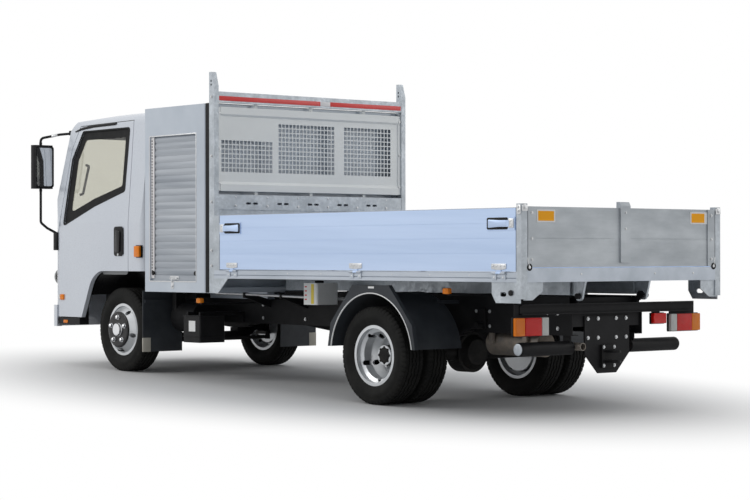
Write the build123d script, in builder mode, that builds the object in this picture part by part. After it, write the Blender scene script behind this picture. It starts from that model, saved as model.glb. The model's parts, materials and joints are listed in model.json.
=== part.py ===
from build123d import *
import math
import os

os.makedirs("parts", exist_ok=True)

# A light tipper truck: a tilting cab, a tool locker behind it, and a dropside bed that tips to the rear.
# Sizes are millimetres. The truck is drawn square to its frame, +X to its left, +Y to its rear and
# +Z up, with the origin at the middle of the rear axle. One move at the end sets it down on the road.

# Clearances
moving_gap = 6.0  # between a moving panel and what it closes against
running_gap = 0.3  # between a pin or ball and its seat
slide_gap = 0.6  # between the tubes of the ram

# Wheels and stance
wheelbase = 3395.0
front_hub_rise = 96.4  # the unladen truck sits nose down: its front hubs are this much nearer the frame
tyre_radius = 352.0
tyre_width = 205.0
bead_radius = 205.0
rim_flange_radius = 228.0
rim_half_width = 79.0
rim_wall = 8.0
rim_well_radius = 178.0
rim_outset = 117.0  # from the middle of a rim to the mounting face of its disc
disc_flat_radius = 148.0
disc_bore_radius = 62.0
front_track_half = 737.0
rear_outer_wheel_x = 827.0
kingpin_x = 640.0
kingpin_radius = 20.0
spindle_radius = 30.0
rear_spindle_radius = 42.0
stud_circle_radius = 104.0
stud_count = 5
nut_radius = 17.0
nut_length = 32.0
hand_hole_radius = 19.0
hand_hole_circle_radius = 170.0
hand_hole_turn = -16.0
hub_cover_radius = 147.0
hub_cover_depth = 12.0
hub_cap_radius = 50.0
hub_cap_depth = 34.0
rear_hub_radius = 72.0
rear_hub_length = 100.0

# Frame
rail_outer_x = 350.0
rail_top = 366.0
rail_depth = 198.0
rail_flange = 60.0
rail_wall = 7.0
rail_front = -4255.0
rail_rear = 1436.0
subframe_height = 70.0
subframe_front = -1760.0

# Bed that tips
bed_half_width = 992.0
bed_front = -1902.0
bed_rear = 1604.0
floor_top = 606.0
floor_plate = 14.0
floor_lip = 2.0  # the floor stands this much above the rails round it
side_rail_bottom = 541.0
side_rail_width = 62.0
bearer_width = 60.0
bearer_count = 9
runner_width = 60.0
runner_depth = 95.0
tip_pivot_y = 1480.0
tip_pivot_z = 440.0
tip_pin_radius = 20.0
tip_angle = 45.0

# Boards round the bed
board_thickness = 30.0
board_top = 1033.0
plank_line = 831.0
plank_groove = 5.0
dropside_front = -1761.0
dropside_rear = 1550.0
side_hinge_x = 1000.0
side_hinge_z = 600.0
side_hinge_radius = 7.0
side_hinge_leaf = 4.5
tailgate_bottom = 640.0
tailgate_top = 1042.0
tailgate_pivot_y = 1582.0
tailgate_pivot_z = 1012.0
tailgate_pin_radius = 10.0
tailgate_end_post = 73.0
corner_post_width = 55.0
corner_post_depth = 48.0
corner_post_top = 1060.0
corner_post_bottom = 430.0

# Headboard
post_depth = 66.0
post_width = 45.0
post_top = 2160.0
post_bottom = 426.0
filler_length = 70.0
bar_top = 2007.0
bar_depth = 85.0
beam_top = 1200.0
beam_bottom = 1081.0
grille_half_width = 922.0
grille_bottom = 1230.0
grille_top = 1890.0
mesh_pitch = 36.5
mesh_hole = 29.0

# Tool locker
locker_front = -2813.0
locker_rear = -1964.0
locker_half_width = 990.0
locker_bottom = 426.0
locker_top = 1918.0
locker_wall = 30.0
shutter_front = -2732.0
shutter_rear = -2086.0
shutter_bottom = 516.0
shutter_top = 1684.0
shutter_recess = 24.0
shutter_rail_height = 46.0
slat_count = 21

# Cab
cab_half_width = 907.0
cab_front = -4405.0
cab_rear = -2960.0
cab_roof = 1915.0
cab_wall = 45.0
skirt_bottom = 190.0
foot_floor = 430.0
windscreen_foot = 985.0
arch_top = 590.0
arch_front = -3906.0
door_front = -4277.0
door_rear = -3184.0
door_hinge_x = 896.0
door_hinge_y = -4258.0
door_pin_radius = 5.0
door_pin_top = 1058.0
door_relief_radius = 18.0  # the door's corner is cut away round its pin, to swing clear of the pillar
door_relief_bottom = 978.0
cab_pivot_y = -4300.0
cab_pivot_z = 150.0
cab_pin_radius = 22.0
glass_depth = 14.0
glass_thickness = 6.0
bumper_front = -4430.0
bumper_half_width = 915.0
bumper_bottom = 104.0
bumper_top = 290.0

# Ram under the bed
ram_y = -350.0
ram_base = 100.0
ram_top = 448.0
ram_trunnion_z = 300.0
ram_trunnion_radius = 18.0
ram_ball_z = 478.0
ram_ball_radius = 30.0
ram_radius = 75.0
ram_stage_count = 5
ram_stage_step = 11.0  # each stage is this much slimmer in radius than the tube around it
cradle_x = 112.0
cradle_plate = 14.0

# Places worked out from those sizes
rail_bottom = rail_top - rail_depth
subframe_top = rail_top + subframe_height
runner_bottom = side_rail_bottom - runner_depth
rear_inner_wheel_x = rear_outer_wheel_x - 2 * rim_outset
front_disc_x = front_track_half + rim_outset
rear_disc_x = rear_outer_wheel_x - rim_outset
sides = [("left", 1), ("right", -1)]
finished = {}


def block(x, y, z, mode=Mode.ADD):
    """A box between a pair of values along each axis."""
    with Locations(((x[0] + x[1]) / 2, (y[0] + y[1]) / 2, (z[0] + z[1]) / 2)):
        Box(x[1] - x[0], y[1] - y[0], z[1] - z[0], mode=mode)


def hand_in(piece, name):
    """Label a finished piece and keep it until the whole truck is set down on the road."""
    piece.part.label = name
    finished[name] = piece.part


# Tyres and rims, as half sections drawn with the axle as their local X and the radius as their local Y
shoulder = 24.0
tread_edge = 22.0


def tyre_section():
    """Bead inside the rim's flanges, bulged sidewall, bevelled shoulder and flat tread."""
    half = tyre_width / 2
    bead_half = rim_half_width - rim_wall - running_gap
    flange_top = rim_flange_radius + 3
    widest = (rim_flange_radius + tyre_radius) / 2 - 5
    # point table of one half: along the axle, radius
    outline = [
        (bead_half, bead_radius),
        (bead_half, flange_top),
        (half - 5, widest - 20),
        (half, widest),
        (half - 7, tyre_radius - shoulder),
        (half - tread_edge, tyre_radius),
    ]
    with BuildLine() as line:
        Polyline(*outline, *[(-along, radius) for along, radius in reversed(outline)], close=True)
    return line.line


def rim_section(facing):
    """A well-base rim with its coned disc, whose mounting face lies to the side named by facing."""
    half = rim_half_width
    seat = bead_radius - running_gap
    inside = seat - rim_wall
    well_inside = rim_well_radius - rim_wall
    # point table: along the axle, radius
    outline = [
        (-half, rim_flange_radius),
        (rim_wall - half, rim_flange_radius),
        (rim_wall - half, seat),
        (42 - half, seat),
        (54 - half, rim_well_radius),
        (half - 50, rim_well_radius),
        (half - 38, seat),
        (half - rim_wall, seat),
        (half - rim_wall, rim_flange_radius),
        (half, rim_flange_radius),
        (half, inside),
        (half - 14, inside),
        (rim_outset, disc_flat_radius),
        (rim_outset, disc_bore_radius),
        (rim_outset - 10, disc_bore_radius),
        (rim_outset - 10, disc_flat_radius - 5),
        (half - 30, inside),
        (half - 42, well_inside),
        (50 - half, well_inside),
        (38 - half, inside),
        (-half, inside),
    ]
    with BuildLine() as line:
        Polyline(*[(facing * along, radius) for along, radius in outline], close=True)
    return line.line


def axle_plane(x, y, z):
    """A plane through a wheel's axis: its local X runs to the truck's left and its local Y up."""
    return Plane(origin=(x, y, z), x_dir=(1, 0, 0), z_dir=(0, -1, 0))


def make_tyres(name, centres, y, z):
    """One or two tyres round the axle at y, z."""
    with BuildPart() as tyres:
        for x in centres:
            with BuildSketch(axle_plane(x, y, z)):
                add(tyre_section())
                make_face()
            revolve(axis=Axis((0, y, z), (1, 0, 0)))
    hand_in(tyres, name)


def make_wheel(name, rims, drums, y, z, face_x, side, bore, bore_end):
    """Rims, brake drum, hub and nuts that turn as one round the axle at y, z.

    A rim is (middle x, facing), and a drum is (from x, to x, radius)."""
    with BuildPart() as wheel:
        for x, facing in rims:
            with BuildSketch(axle_plane(x, y, z)):
                add(rim_section(facing))
                make_face()
            revolve(axis=Axis((0, y, z), (1, 0, 0)))
        disc = Plane(origin=(face_x, y, z), x_dir=(0, 1, 0), z_dir=(side, 0, 0))
        with BuildSketch(disc):
            with PolarLocations(hand_hole_circle_radius, stud_count, start_angle=hand_hole_turn):
                Circle(hand_hole_radius)
        extrude(amount=2 * rim_half_width, both=True, mode=Mode.SUBTRACT)
        for start, end, radius in drums:
            with BuildSketch(Plane(origin=(start, y, z), z_dir=(side, 0, 0))):
                Circle(radius)
            extrude(amount=abs(end - start))
        with BuildSketch(disc):
            with PolarLocations(stud_circle_radius, stud_count, start_angle=90):
                RegularPolygon(nut_radius, 6)
        extrude(amount=nut_length)
        with BuildSketch(Plane(origin=(0, y, z), z_dir=(side, 0, 0))):
            Circle(bore)
        extrude(amount=bore_end, mode=Mode.SUBTRACT)
    hand_in(wheel, name)


front_spindle_end = front_disc_x - 16.0
rear_spindle_end = rear_disc_x + 16.0
front_drum_start = kingpin_x + 66.0
front_drum_radius = 150.0
rear_drum_start = rear_inner_wheel_x - rim_half_width + 14.0
rear_drum_radius = 160.0
for name, side in sides:
    make_tyres(f"tyre_front_{name}", [side * front_track_half], -wheelbase, front_hub_rise)
    make_tyres(f"tyres_rear_{name}", [side * rear_outer_wheel_x, side * rear_inner_wheel_x], 0, 0)
    make_wheel(
        f"wheel_front_{name}",
        [(side * front_track_half, side)],
        [
            (side * front_drum_start, side * front_disc_x, front_drum_radius),
            (side * front_disc_x, side * (front_disc_x + hub_cover_depth), hub_cover_radius),
            (side * front_disc_x, side * (front_disc_x + hub_cap_depth), hub_cap_radius),
        ],
        -wheelbase,
        front_hub_rise,
        side * front_disc_x,
        side,
        spindle_radius + running_gap,
        front_spindle_end + running_gap,
    )
    make_wheel(
        f"wheels_rear_{name}",
        [(side * rear_outer_wheel_x, -side), (side * rear_inner_wheel_x, side)],
        [
            (side * rear_drum_start, side * rear_disc_x, rear_drum_radius),
            (side * rear_disc_x, side * (rear_disc_x + rear_hub_length), rear_hub_radius),
        ],
        0,
        0,
        side * rear_disc_x,
        side,
        rear_spindle_radius + running_gap,
        rear_spindle_end + running_gap,
    )

# Front axle: a dropped beam with an eye at each end for the kingpin, and pads for the springs
front_spring_x = 385.0
rear_spring_x = 400.0
leaf = 11.0
leaf_width = 60.0
beam_half_depth = 40.0
beam_half_width = 32.0
beam_drop = 78.0
eye_radius = 36.0
eye_half_height = 46.0
front_seat_z = front_hub_rise - 8.0
rear_seat_z = 66.0
with BuildPart() as front_axle:
    with BuildSketch(Plane.XZ.offset(wheelbase)):
        with BuildLine():
            Polyline(
                (kingpin_x, front_hub_rise + beam_half_depth),
                (540, front_hub_rise + beam_half_depth - 6),
                (440, front_hub_rise - beam_half_depth),
                (0, front_hub_rise - beam_half_depth),
                (0, front_hub_rise - beam_half_depth - beam_drop),
                (450, front_hub_rise - beam_half_depth - beam_drop),
                (560, front_hub_rise - beam_half_depth + 6),
                (kingpin_x, front_hub_rise - beam_half_depth),
                close=True,
            )
        make_face()
    extrude(amount=beam_half_width, both=True)
    seat_bottom = front_hub_rise - beam_half_depth - 5
    block(
        (front_spring_x - 42, front_spring_x + 42),
        (-wheelbase - 55, -wheelbase + 55),
        (seat_bottom, front_seat_z),
    )
    with Locations((kingpin_x, -wheelbase, front_hub_rise)):
        Cylinder(eye_radius, 2 * eye_half_height)
    mirror(about=Plane.YZ)
    with Locations((kingpin_x, -wheelbase, front_hub_rise), (-kingpin_x, -wheelbase, front_hub_rise)):
        Cylinder(kingpin_radius + running_gap, 4 * eye_half_height, mode=Mode.SUBTRACT)
hand_in(front_axle, "front_axle")

# Steering knuckles, each a yoke on its kingpin with a spindle and an arm to the rear
yoke = 26.0
yoke_half_width = 36.0
arm_reach = 150.0
arm_inset = 40.0
arm_eye_radius = 22.0
spindle_start = kingpin_x + 42.0
yoke_height = eye_half_height + running_gap + yoke
arm_y = -wheelbase + arm_reach
arm_top = front_hub_rise - eye_half_height - running_gap
for name, side in sides:
    with BuildPart() as knuckle:
        with Locations((side * kingpin_x, -wheelbase, front_hub_rise)):
            Cylinder(kingpin_radius, 2 * yoke_height)
        with BuildSketch(Plane.XZ.offset(wheelbase)):
            with BuildLine():
                Polyline(
                    (side * (kingpin_x - 30), front_hub_rise + yoke_height),
                    (side * (spindle_start + 10), front_hub_rise + yoke_height),
                    (side * (spindle_start + 22), front_hub_rise),
                    (side * (spindle_start + 10), front_hub_rise - yoke_height),
                    (side * (kingpin_x - 30), front_hub_rise - yoke_height),
                    (side * (kingpin_x - 30), front_hub_rise - yoke_height + yoke),
                    (side * (spindle_start - 2), front_hub_rise - yoke_height + yoke),
                    (side * (spindle_start - 2), front_hub_rise + yoke_height - yoke),
                    (side * (kingpin_x - 30), front_hub_rise + yoke_height - yoke),
                    close=True,
                )
            make_face()
        extrude(amount=yoke_half_width, both=True)
        with BuildSketch(Plane.YZ.offset(side * spindle_start)):
            with Locations((-wheelbase, front_hub_rise)):
                Circle(spindle_radius)
        extrude(amount=side * (front_spindle_end - spindle_start))
        with BuildSketch(Plane.XY.offset(arm_top - yoke)):
            with BuildLine():
                Polyline(
                    (side * (kingpin_x - 30), -wheelbase + 10),
                    (side * (kingpin_x - arm_inset - 18), arm_y),
                    (side * (kingpin_x - arm_inset + 18), arm_y),
                    (side * (kingpin_x + 24), -wheelbase + 30),
                    close=True,
                )
            make_face()
            with Locations((side * (kingpin_x - arm_inset), arm_y)):
                Circle(arm_eye_radius)
        extrude(amount=yoke)
    hand_in(knuckle, f"knuckle_{name}")

# Track rod between the arms, with a ball housing under each
track_rod_radius = 16.0
rod_end_x = kingpin_x - arm_inset
rod_end_top = arm_top - yoke - running_gap
rod_end_height = 40.0
with BuildPart() as track_rod:
    with BuildSketch(Plane.YZ.offset(-rod_end_x)):
        with Locations((arm_y, rod_end_top - rod_end_height / 2)):
            Circle(track_rod_radius)
    extrude(amount=2 * rod_end_x)
    for side in (1, -1):
        with Locations((side * rod_end_x, arm_y, rod_end_top - rod_end_height / 2)):
            Cylinder(arm_eye_radius, rod_end_height)
hand_in(track_rod, "track_rod")

# Rear axle: tube, round differential case with its nose, spindles and spring pads
axle_tube_radius = 58.0
diff_radius = 150.0
with BuildPart() as rear_axle:
    tube_end = rear_drum_start - 8.0
    with BuildSketch(Plane.YZ.offset(-tube_end)):
        Circle(axle_tube_radius)
    extrude(amount=2 * tube_end)
    with BuildSketch(Plane.YZ.offset(-rear_spindle_end)):
        Circle(rear_spindle_radius)
    extrude(amount=2 * rear_spindle_end)
    with BuildSketch(Plane.XZ.offset(-70)):
        Circle(diff_radius)
    extrude(amount=140)
    with BuildSketch(Plane.XZ.offset(70)):
        Circle(diff_radius - 20)
    with BuildSketch(Plane.XZ.offset(190)):
        Circle(62)
    loft()
    with BuildSketch(Plane.XZ.offset(-70)):
        Circle(diff_radius - 20)
    with BuildSketch(Plane.XZ.offset(-115)):
        Circle(95)
    loft()
    for side in (1, -1):
        block((side * rear_spring_x - 38, side * rear_spring_x + 38), (-60, 60), (20, rear_seat_z))
hand_in(rear_axle, "rear_axle")

# Leaf springs: a pack of bowed leaves, an eye at each end, and hangers up the outside of the rail
# spring table: middle y, seat z, half length, rise of the eyes, number of leaves, middle x
springs = [
    (0.0, rear_seat_z, 560.0, 92.0, 6, rear_spring_x),
    (-wheelbase, front_seat_z, 500.0, 70.0, 4, front_spring_x),
]
eye = 24.0
shortening = 0.8  # the shortest leaf lacks this share of the longest one's length
hanger_width = 70.0
hanger_inset = 30.0
with BuildPart() as leaf_springs:
    for middle_y, seat_z, half_length, eye_rise, leaves, spring_x in springs:
        inner_face = spring_x - leaf_width / 2
        for number in range(leaves):
            reach = half_length * (1 - number / leaves * shortening)
            top = seat_z + (leaves - number) * leaf
            tip = top + eye_rise * (reach / half_length) ** 2
            front, back = middle_y - reach, middle_y + reach
            with BuildSketch(Plane.YZ.offset(inner_face)):
                with BuildLine():
                    ThreePointArc((front, tip), (middle_y, top), (back, tip))
                    Line((back, tip), (back, tip - leaf))
                    ThreePointArc((back, tip - leaf), (middle_y, top - leaf), (front, tip - leaf))
                    Line((front, tip - leaf), (front, tip))
                make_face()
            extrude(amount=leaf_width)
        eye_z = seat_z + leaves * leaf + eye_rise - leaf / 2
        hanger_top = rail_top - hanger_inset
        for end in (middle_y - half_length, middle_y + half_length):
            with BuildSketch(Plane.YZ.offset(inner_face)):
                with Locations((end, eye_z)):
                    Circle(eye)
            extrude(amount=leaf_width)
            with BuildSketch(Plane.YZ.offset(rail_outer_x)):
                with Locations((end, (eye_z - eye + hanger_top) / 2)):
                    RectangleRounded(hanger_width, hanger_top - eye_z + eye, 12)
            extrude(amount=inner_face - rail_outer_x)
    mirror(about=Plane.YZ)
hand_in(leaf_springs, "leaf_springs")

# Ladder frame: two channels, cross members, the cab's front pivot and its rear rests
cross_member_ys = [-4170.0, -2300.0, -1500.0, 640.0]
cross_depth = 70.0
cross_width = 56.0
pivot_bracket = 15.0
cab_pivot_reach = rail_outer_x + 36.0
cab_rest_ys = (-3045.0, -2985.0)
with BuildPart() as chassis_frame:
    with BuildSketch(Plane.XZ.offset(-rail_rear)):
        with Locations((rail_outer_x - rail_flange / 2, rail_top - rail_depth / 2)):
            Rectangle(rail_flange, rail_depth)
        with Locations((rail_outer_x - rail_wall - rail_flange / 2, rail_top - rail_depth / 2)):
            Rectangle(rail_flange, rail_depth - 2 * rail_wall, mode=Mode.SUBTRACT)
    extrude(amount=rail_rear - rail_front)
    with BuildSketch(Plane.YZ.offset(rail_outer_x - pivot_bracket)):
        with BuildLine():
            Polyline(
                (rail_front + 90, rail_bottom + rail_depth / 2),
                (rail_front, rail_bottom + rail_depth / 2),
                (cab_pivot_y - 30, cab_pivot_z + 20),
                (cab_pivot_y - 30, cab_pivot_z - 26),
                (cab_pivot_y + 30, cab_pivot_z - 30),
                (rail_front + 90, rail_bottom - 6),
                close=True,
            )
        make_face()
    extrude(amount=pivot_bracket)
    block((rail_outer_x - rail_flange, rail_outer_x), cab_rest_ys, (rail_top, arch_top - running_gap))
    mirror(about=Plane.YZ)
    inside = rail_outer_x - rail_wall
    for y in cross_member_ys:
        with BuildSketch(Plane.YZ.offset(-inside)):
            with Locations((y, rail_top - rail_wall - cross_depth / 2)):
                Rectangle(cross_width, cross_depth)
            with Locations((y, rail_top - 2 * rail_wall - cross_depth / 2)):
                Rectangle(cross_width - 2 * rail_wall, cross_depth, mode=Mode.SUBTRACT)
        extrude(amount=2 * inside)
    with BuildSketch(Plane.YZ.offset(-cab_pivot_reach)):
        with Locations((cab_pivot_y, cab_pivot_z)):
            Circle(cab_pin_radius)
    extrude(amount=2 * cab_pivot_reach)
hand_in(chassis_frame, "chassis_frame")

# Subframe on the rails, with the ears of the tipping hinge and the ram's cradle
ear_x = rail_outer_x - 58.0
ear_plate = 14.0
ear_radius = 28.0
bearing_radius = 38.0
cradle_half_length = 260.0
subframe_rear = tip_pivot_y - 70.0
with BuildPart() as subframe:
    with BuildSketch(Plane.XZ.offset(-subframe_rear)):
        with Locations((rail_outer_x - runner_width / 2, rail_top + subframe_height / 2)):
            Rectangle(runner_width, subframe_height)
            Rectangle(runner_width - 2 * rail_wall, subframe_height - 2 * rail_wall, mode=Mode.SUBTRACT)
    extrude(amount=subframe_rear - subframe_front)
    for y in (subframe_front + 30, ram_y - cradle_half_length, ram_y + cradle_half_length, subframe_rear - 40):
        block((0, rail_outer_x - runner_width), (y - 25, y + 25), (rail_top + 10, subframe_top - 10))
    with BuildSketch(Plane.YZ.offset(ear_x)):
        with BuildLine():
            Polyline(
                (subframe_rear - 40, rail_top),
                (subframe_rear - 40, subframe_top),
                (tip_pivot_y - 2 * ear_radius + 10, subframe_top),
                (tip_pivot_y - ear_radius, tip_pivot_z + ear_radius),
                (tip_pivot_y, tip_pivot_z + ear_radius),
                (tip_pivot_y + ear_radius, tip_pivot_z),
                (tip_pivot_y, tip_pivot_z - ear_radius),
                (rail_rear, rail_top + 28),
                (rail_rear, rail_top),
                close=True,
            )
        make_face()
    extrude(amount=ear_plate)
    with BuildSketch(Plane.YZ.offset(ear_x)):
        with Locations((tip_pivot_y, tip_pivot_z)):
            Circle(tip_pin_radius)
    extrude(amount=rail_outer_x - ear_x)
    with BuildSketch(Plane.YZ.offset(cradle_x)):
        with BuildLine():
            Polyline(
                (ram_y - cradle_half_length, subframe_top - 10),
                (ram_y + cradle_half_length, subframe_top - 10),
                (ram_y + cradle_half_length, subframe_top - 55),
                (ram_y + bearing_radius, ram_trunnion_z),
                (ram_y - bearing_radius, ram_trunnion_z),
                (ram_y - cradle_half_length, subframe_top - 55),
                close=True,
            )
        make_face()
        with Locations((ram_y, ram_trunnion_z)):
            Circle(bearing_radius)
            Circle(ram_trunnion_radius + running_gap, mode=Mode.SUBTRACT)
    extrude(amount=cradle_plate)
    mirror(about=Plane.YZ)
hand_in(subframe, "subframe")

# Telescopic ram: a barrel on trunnions, and stages that slide out of one another up to a ball
ram_floor = 12.0
with BuildPart() as ram_barrel:
    with Locations((0, ram_y, ram_base)):
        Cylinder(ram_radius, ram_top - ram_base, align=(Align.CENTER, Align.CENTER, Align.MIN))
    with Locations((0, ram_y, ram_base + ram_floor)):
        Cylinder(
            ram_radius - ram_stage_step + slide_gap,
            ram_top - ram_base,
            align=(Align.CENTER, Align.CENTER, Align.MIN),
            mode=Mode.SUBTRACT,
        )
    for side in (1, -1):
        with BuildSketch(Plane.YZ.offset(side * (ram_radius - 5))):
            with Locations((ram_y, ram_trunnion_z)):
                Circle(ram_trunnion_radius)
        extrude(amount=side * (cradle_x + cradle_plate + 6 - ram_radius + 5))
hand_in(ram_barrel, "ram_barrel")
for stage in range(1, ram_stage_count + 1):
    stage_radius = ram_radius - stage * ram_stage_step
    stage_bottom = ram_base + ram_floor + stage * 2
    with BuildPart() as ram_stage:
        with Locations((0, ram_y, stage_bottom)):
            Cylinder(stage_radius, ram_top - stage_bottom, align=(Align.CENTER, Align.CENTER, Align.MIN))
            if stage < ram_stage_count:
                Cylinder(
                    stage_radius - ram_stage_step + slide_gap,
                    2 * (ram_top - stage_bottom),
                    align=(Align.CENTER, Align.CENTER, Align.MIN),
                    mode=Mode.SUBTRACT,
                )
        if stage == ram_stage_count:
            with Locations((0, ram_y, ram_ball_z)):
                Sphere(ram_ball_radius)
    hand_in(ram_stage, f"ram_stage_{stage}")

# Engine and gearbox as one plain block each, under the cab, on a mount at each rail
engine_half_width = 270.0
engine_front = -3640.0
engine_rear = -3040.0
engine_bottom = rail_bottom - 12.0
engine_top = 500.0
gearbox_half_width = 150.0
gearbox_rear = -2480.0
engine_mount_y = (engine_front + 50, engine_front + 110)
engine_mount_z = (230.0, 290.0)
with BuildPart() as engine:
    block((-engine_half_width, engine_half_width), (engine_front, engine_rear), (engine_bottom, engine_top))
    gearbox_z = (rail_bottom + 4, rail_top - 12)
    block((-gearbox_half_width, gearbox_half_width), (engine_rear, gearbox_rear), gearbox_z)
    for side in (1, -1):
        mount_x = (side * engine_half_width, side * (rail_outer_x - rail_wall))[::side]
        block(mount_x, engine_mount_y, engine_mount_z)
hand_in(engine, "engine_and_gearbox")

# Propeller shaft from the gearbox to the axle's nose, with a joint at each end
shaft_front = (gearbox_rear, 240.0)
shaft_rear = (-190.0, 0.0)
shaft_radius = 36.0
shaft_joint = 50.0
shaft_joint_length = 70.0
shaft_end_gap = 6.0
shaft_rise = shaft_rear[1] - shaft_front[1]
shaft_length = math.hypot(shaft_rear[0] - shaft_front[0], shaft_rise)
shaft_way = (0, (shaft_rear[0] - shaft_front[0]) / shaft_length, shaft_rise / shaft_length)
with BuildPart() as propeller_shaft:
    # shaft table: start along the shaft, length, radius
    for start, length, radius in (
        (shaft_end_gap, shaft_length - 2 * shaft_end_gap, shaft_radius),
        (shaft_end_gap, shaft_joint_length, shaft_joint),
        (shaft_length - shaft_end_gap - shaft_joint_length, shaft_joint_length, shaft_joint),
    ):
        place = (0, shaft_front[0] + start * shaft_way[1], shaft_front[1] + start * shaft_way[2])
        with BuildSketch(Plane(origin=place, z_dir=shaft_way)):
            Circle(radius)
        extrude(amount=length)
hand_in(propeller_shaft, "propeller_shaft")

# Fuel tank on the right rail
tank_width = 400.0
tank_height = 330.0
tank_round = 60.0
tank_rear = -1230.0
tank_length = 860.0
tank_middle_z = 175.0
tank_off_rail = 50.0
tank_straps = (-1900.0, -1430.0)
strap_half_width = 30.0
with BuildPart() as fuel_tank:
    with BuildSketch(Plane.XZ.offset(-tank_rear)):
        with Locations((-(rail_outer_x + tank_off_rail + tank_width / 2), tank_middle_z)):
            RectangleRounded(tank_width, tank_height, tank_round)
    extrude(amount=tank_length)
    for y in tank_straps:
        strap_y = (y - strap_half_width, y + strap_half_width)
        strap_x = (-(rail_outer_x + tank_off_rail + 10), -rail_outer_x)
        block(strap_x, strap_y, (rail_bottom + 10, rail_bottom + 120))
hand_in(fuel_tank, "fuel_tank")

# Battery box on the left rail
box_middle = (685.0, -2404.0)
box_width = 250.0
box_length = 237.0
box_bottom = 16.0
box_top = 236.0
box_bearer_height = 26.0
box_bearer_ys = (-2490.0, -2320.0)
with BuildPart() as battery_box:
    with BuildSketch(Plane.XY.offset(box_bottom)):
        with Locations(box_middle):
            RectangleRounded(box_width, box_length, 14)
    extrude(amount=box_top - box_bottom)
    for y in box_bearer_ys:
        block((rail_outer_x, box_middle[0] + 105), (y - 10, y + 10), (box_top, box_top + box_bearer_height))
    plate_y = (box_bearer_ys[0] - 20, box_bearer_ys[1] + 20)
    block((rail_outer_x, rail_outer_x + 20), plate_y, (rail_bottom + 12, box_top + box_bearer_height))
hand_in(battery_box, "battery_box")

# Air cleaner on the left rail, with its duct standing behind the cab
cleaner_radius = 125.0
cleaner_x = 560.0
cleaner_z = 210.0
cleaner_rear = -2570.0
cleaner_length = 310.0
elbow_y = -2850.0
elbow_width = 110.0
elbow_depth = 50.0
elbow_bottom = 250.0
duct_x = 850.0
duct_y = -2864.0
duct_width = 90.0
duct_depth = 62.0
duct_bottom = 430.0
duct_top = 1491.0
with BuildPart() as air_cleaner:
    with BuildSketch(Plane.XZ.offset(-cleaner_rear)):
        with Locations((cleaner_x, cleaner_z)):
            Circle(cleaner_radius)
    extrude(amount=cleaner_length)
    bracket_y = (cleaner_rear - 210, cleaner_rear - 130)
    block((rail_outer_x, cleaner_x - cleaner_radius + 12), bracket_y, (cleaner_z - 20, cleaner_z + 30))
    with BuildSketch(Plane.XY.offset(elbow_bottom)):
        with Locations((cleaner_x + 60, elbow_y)):
            RectangleRounded(elbow_width, elbow_depth, 12)
    extrude(amount=duct_bottom - elbow_bottom)
    block(
        (cleaner_x + 10, duct_x + duct_width / 2),
        (elbow_y - 35, elbow_y + 15),
        (duct_bottom, duct_bottom + elbow_depth),
    )
    with BuildSketch(Plane.XY.offset(duct_bottom)):
        with Locations((duct_x, duct_y)):
            RectangleRounded(duct_width, duct_depth, 14)
    extrude(amount=duct_top - duct_bottom)
hand_in(air_cleaner, "air_cleaner")

# Oil tank of the tipping gear, on a tray off the subframe
oil_middle = (595.0, -999.0)
oil_width = 210.0
oil_length = 172.0
oil_bottom = 344.0
oil_height = 165.0
with BuildPart() as oil_tank:
    with BuildSketch(Plane.XY.offset(oil_bottom)):
        with Locations(oil_middle):
            RectangleRounded(oil_width, oil_length, 16)
    extrude(amount=oil_height)
    tray_y = (oil_middle[1] - 51, oil_middle[1] + 49)
    block((rail_outer_x, oil_middle[0] - oil_width / 2 + 10), tray_y, (rail_top + 10, rail_top + 30))
hand_in(oil_tank, "oil_tank")

# Silencer and tail pipe on the left of the frame's middle
pipe_x = 257.0
pipe_z = 92.0
silencer_front = 520.0
silencer_length = 520.0
silencer_radius = 88.0
silencer_offset = 50.0
pipe_radius = 27.0
pipe_wall = 4.0
pipe_rear = 1450.0
pipe_open_length = 100.0
exhaust_hanger_ys = (600.0, 940.0)
with BuildPart() as exhaust:
    with BuildSketch(Plane.XZ.offset(-silencer_front)):
        with Locations((pipe_x - silencer_offset, pipe_z)):
            Circle(silencer_radius)
    extrude(amount=-silencer_length)
    with BuildSketch(Plane.XZ.offset(10 - silencer_front - silencer_length)):
        with Locations((pipe_x, pipe_z)):
            Circle(pipe_radius)
    extrude(amount=silencer_front + silencer_length - 10 - pipe_rear)
    with BuildSketch(Plane.XZ.offset(pipe_open_length - pipe_rear)):
        with Locations((pipe_x, pipe_z)):
            Circle(pipe_radius - pipe_wall)
    extrude(amount=-pipe_open_length, mode=Mode.SUBTRACT)
    for y in exhaust_hanger_ys:
        block((rail_outer_x - 50, rail_outer_x - 30), (y - 20, y + 20), (pipe_z, rail_bottom))
        block((pipe_x, rail_outer_x - 30), (y - 20, y + 20), (pipe_z, pipe_z + 14))
hand_in(exhaust, "exhaust")

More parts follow.
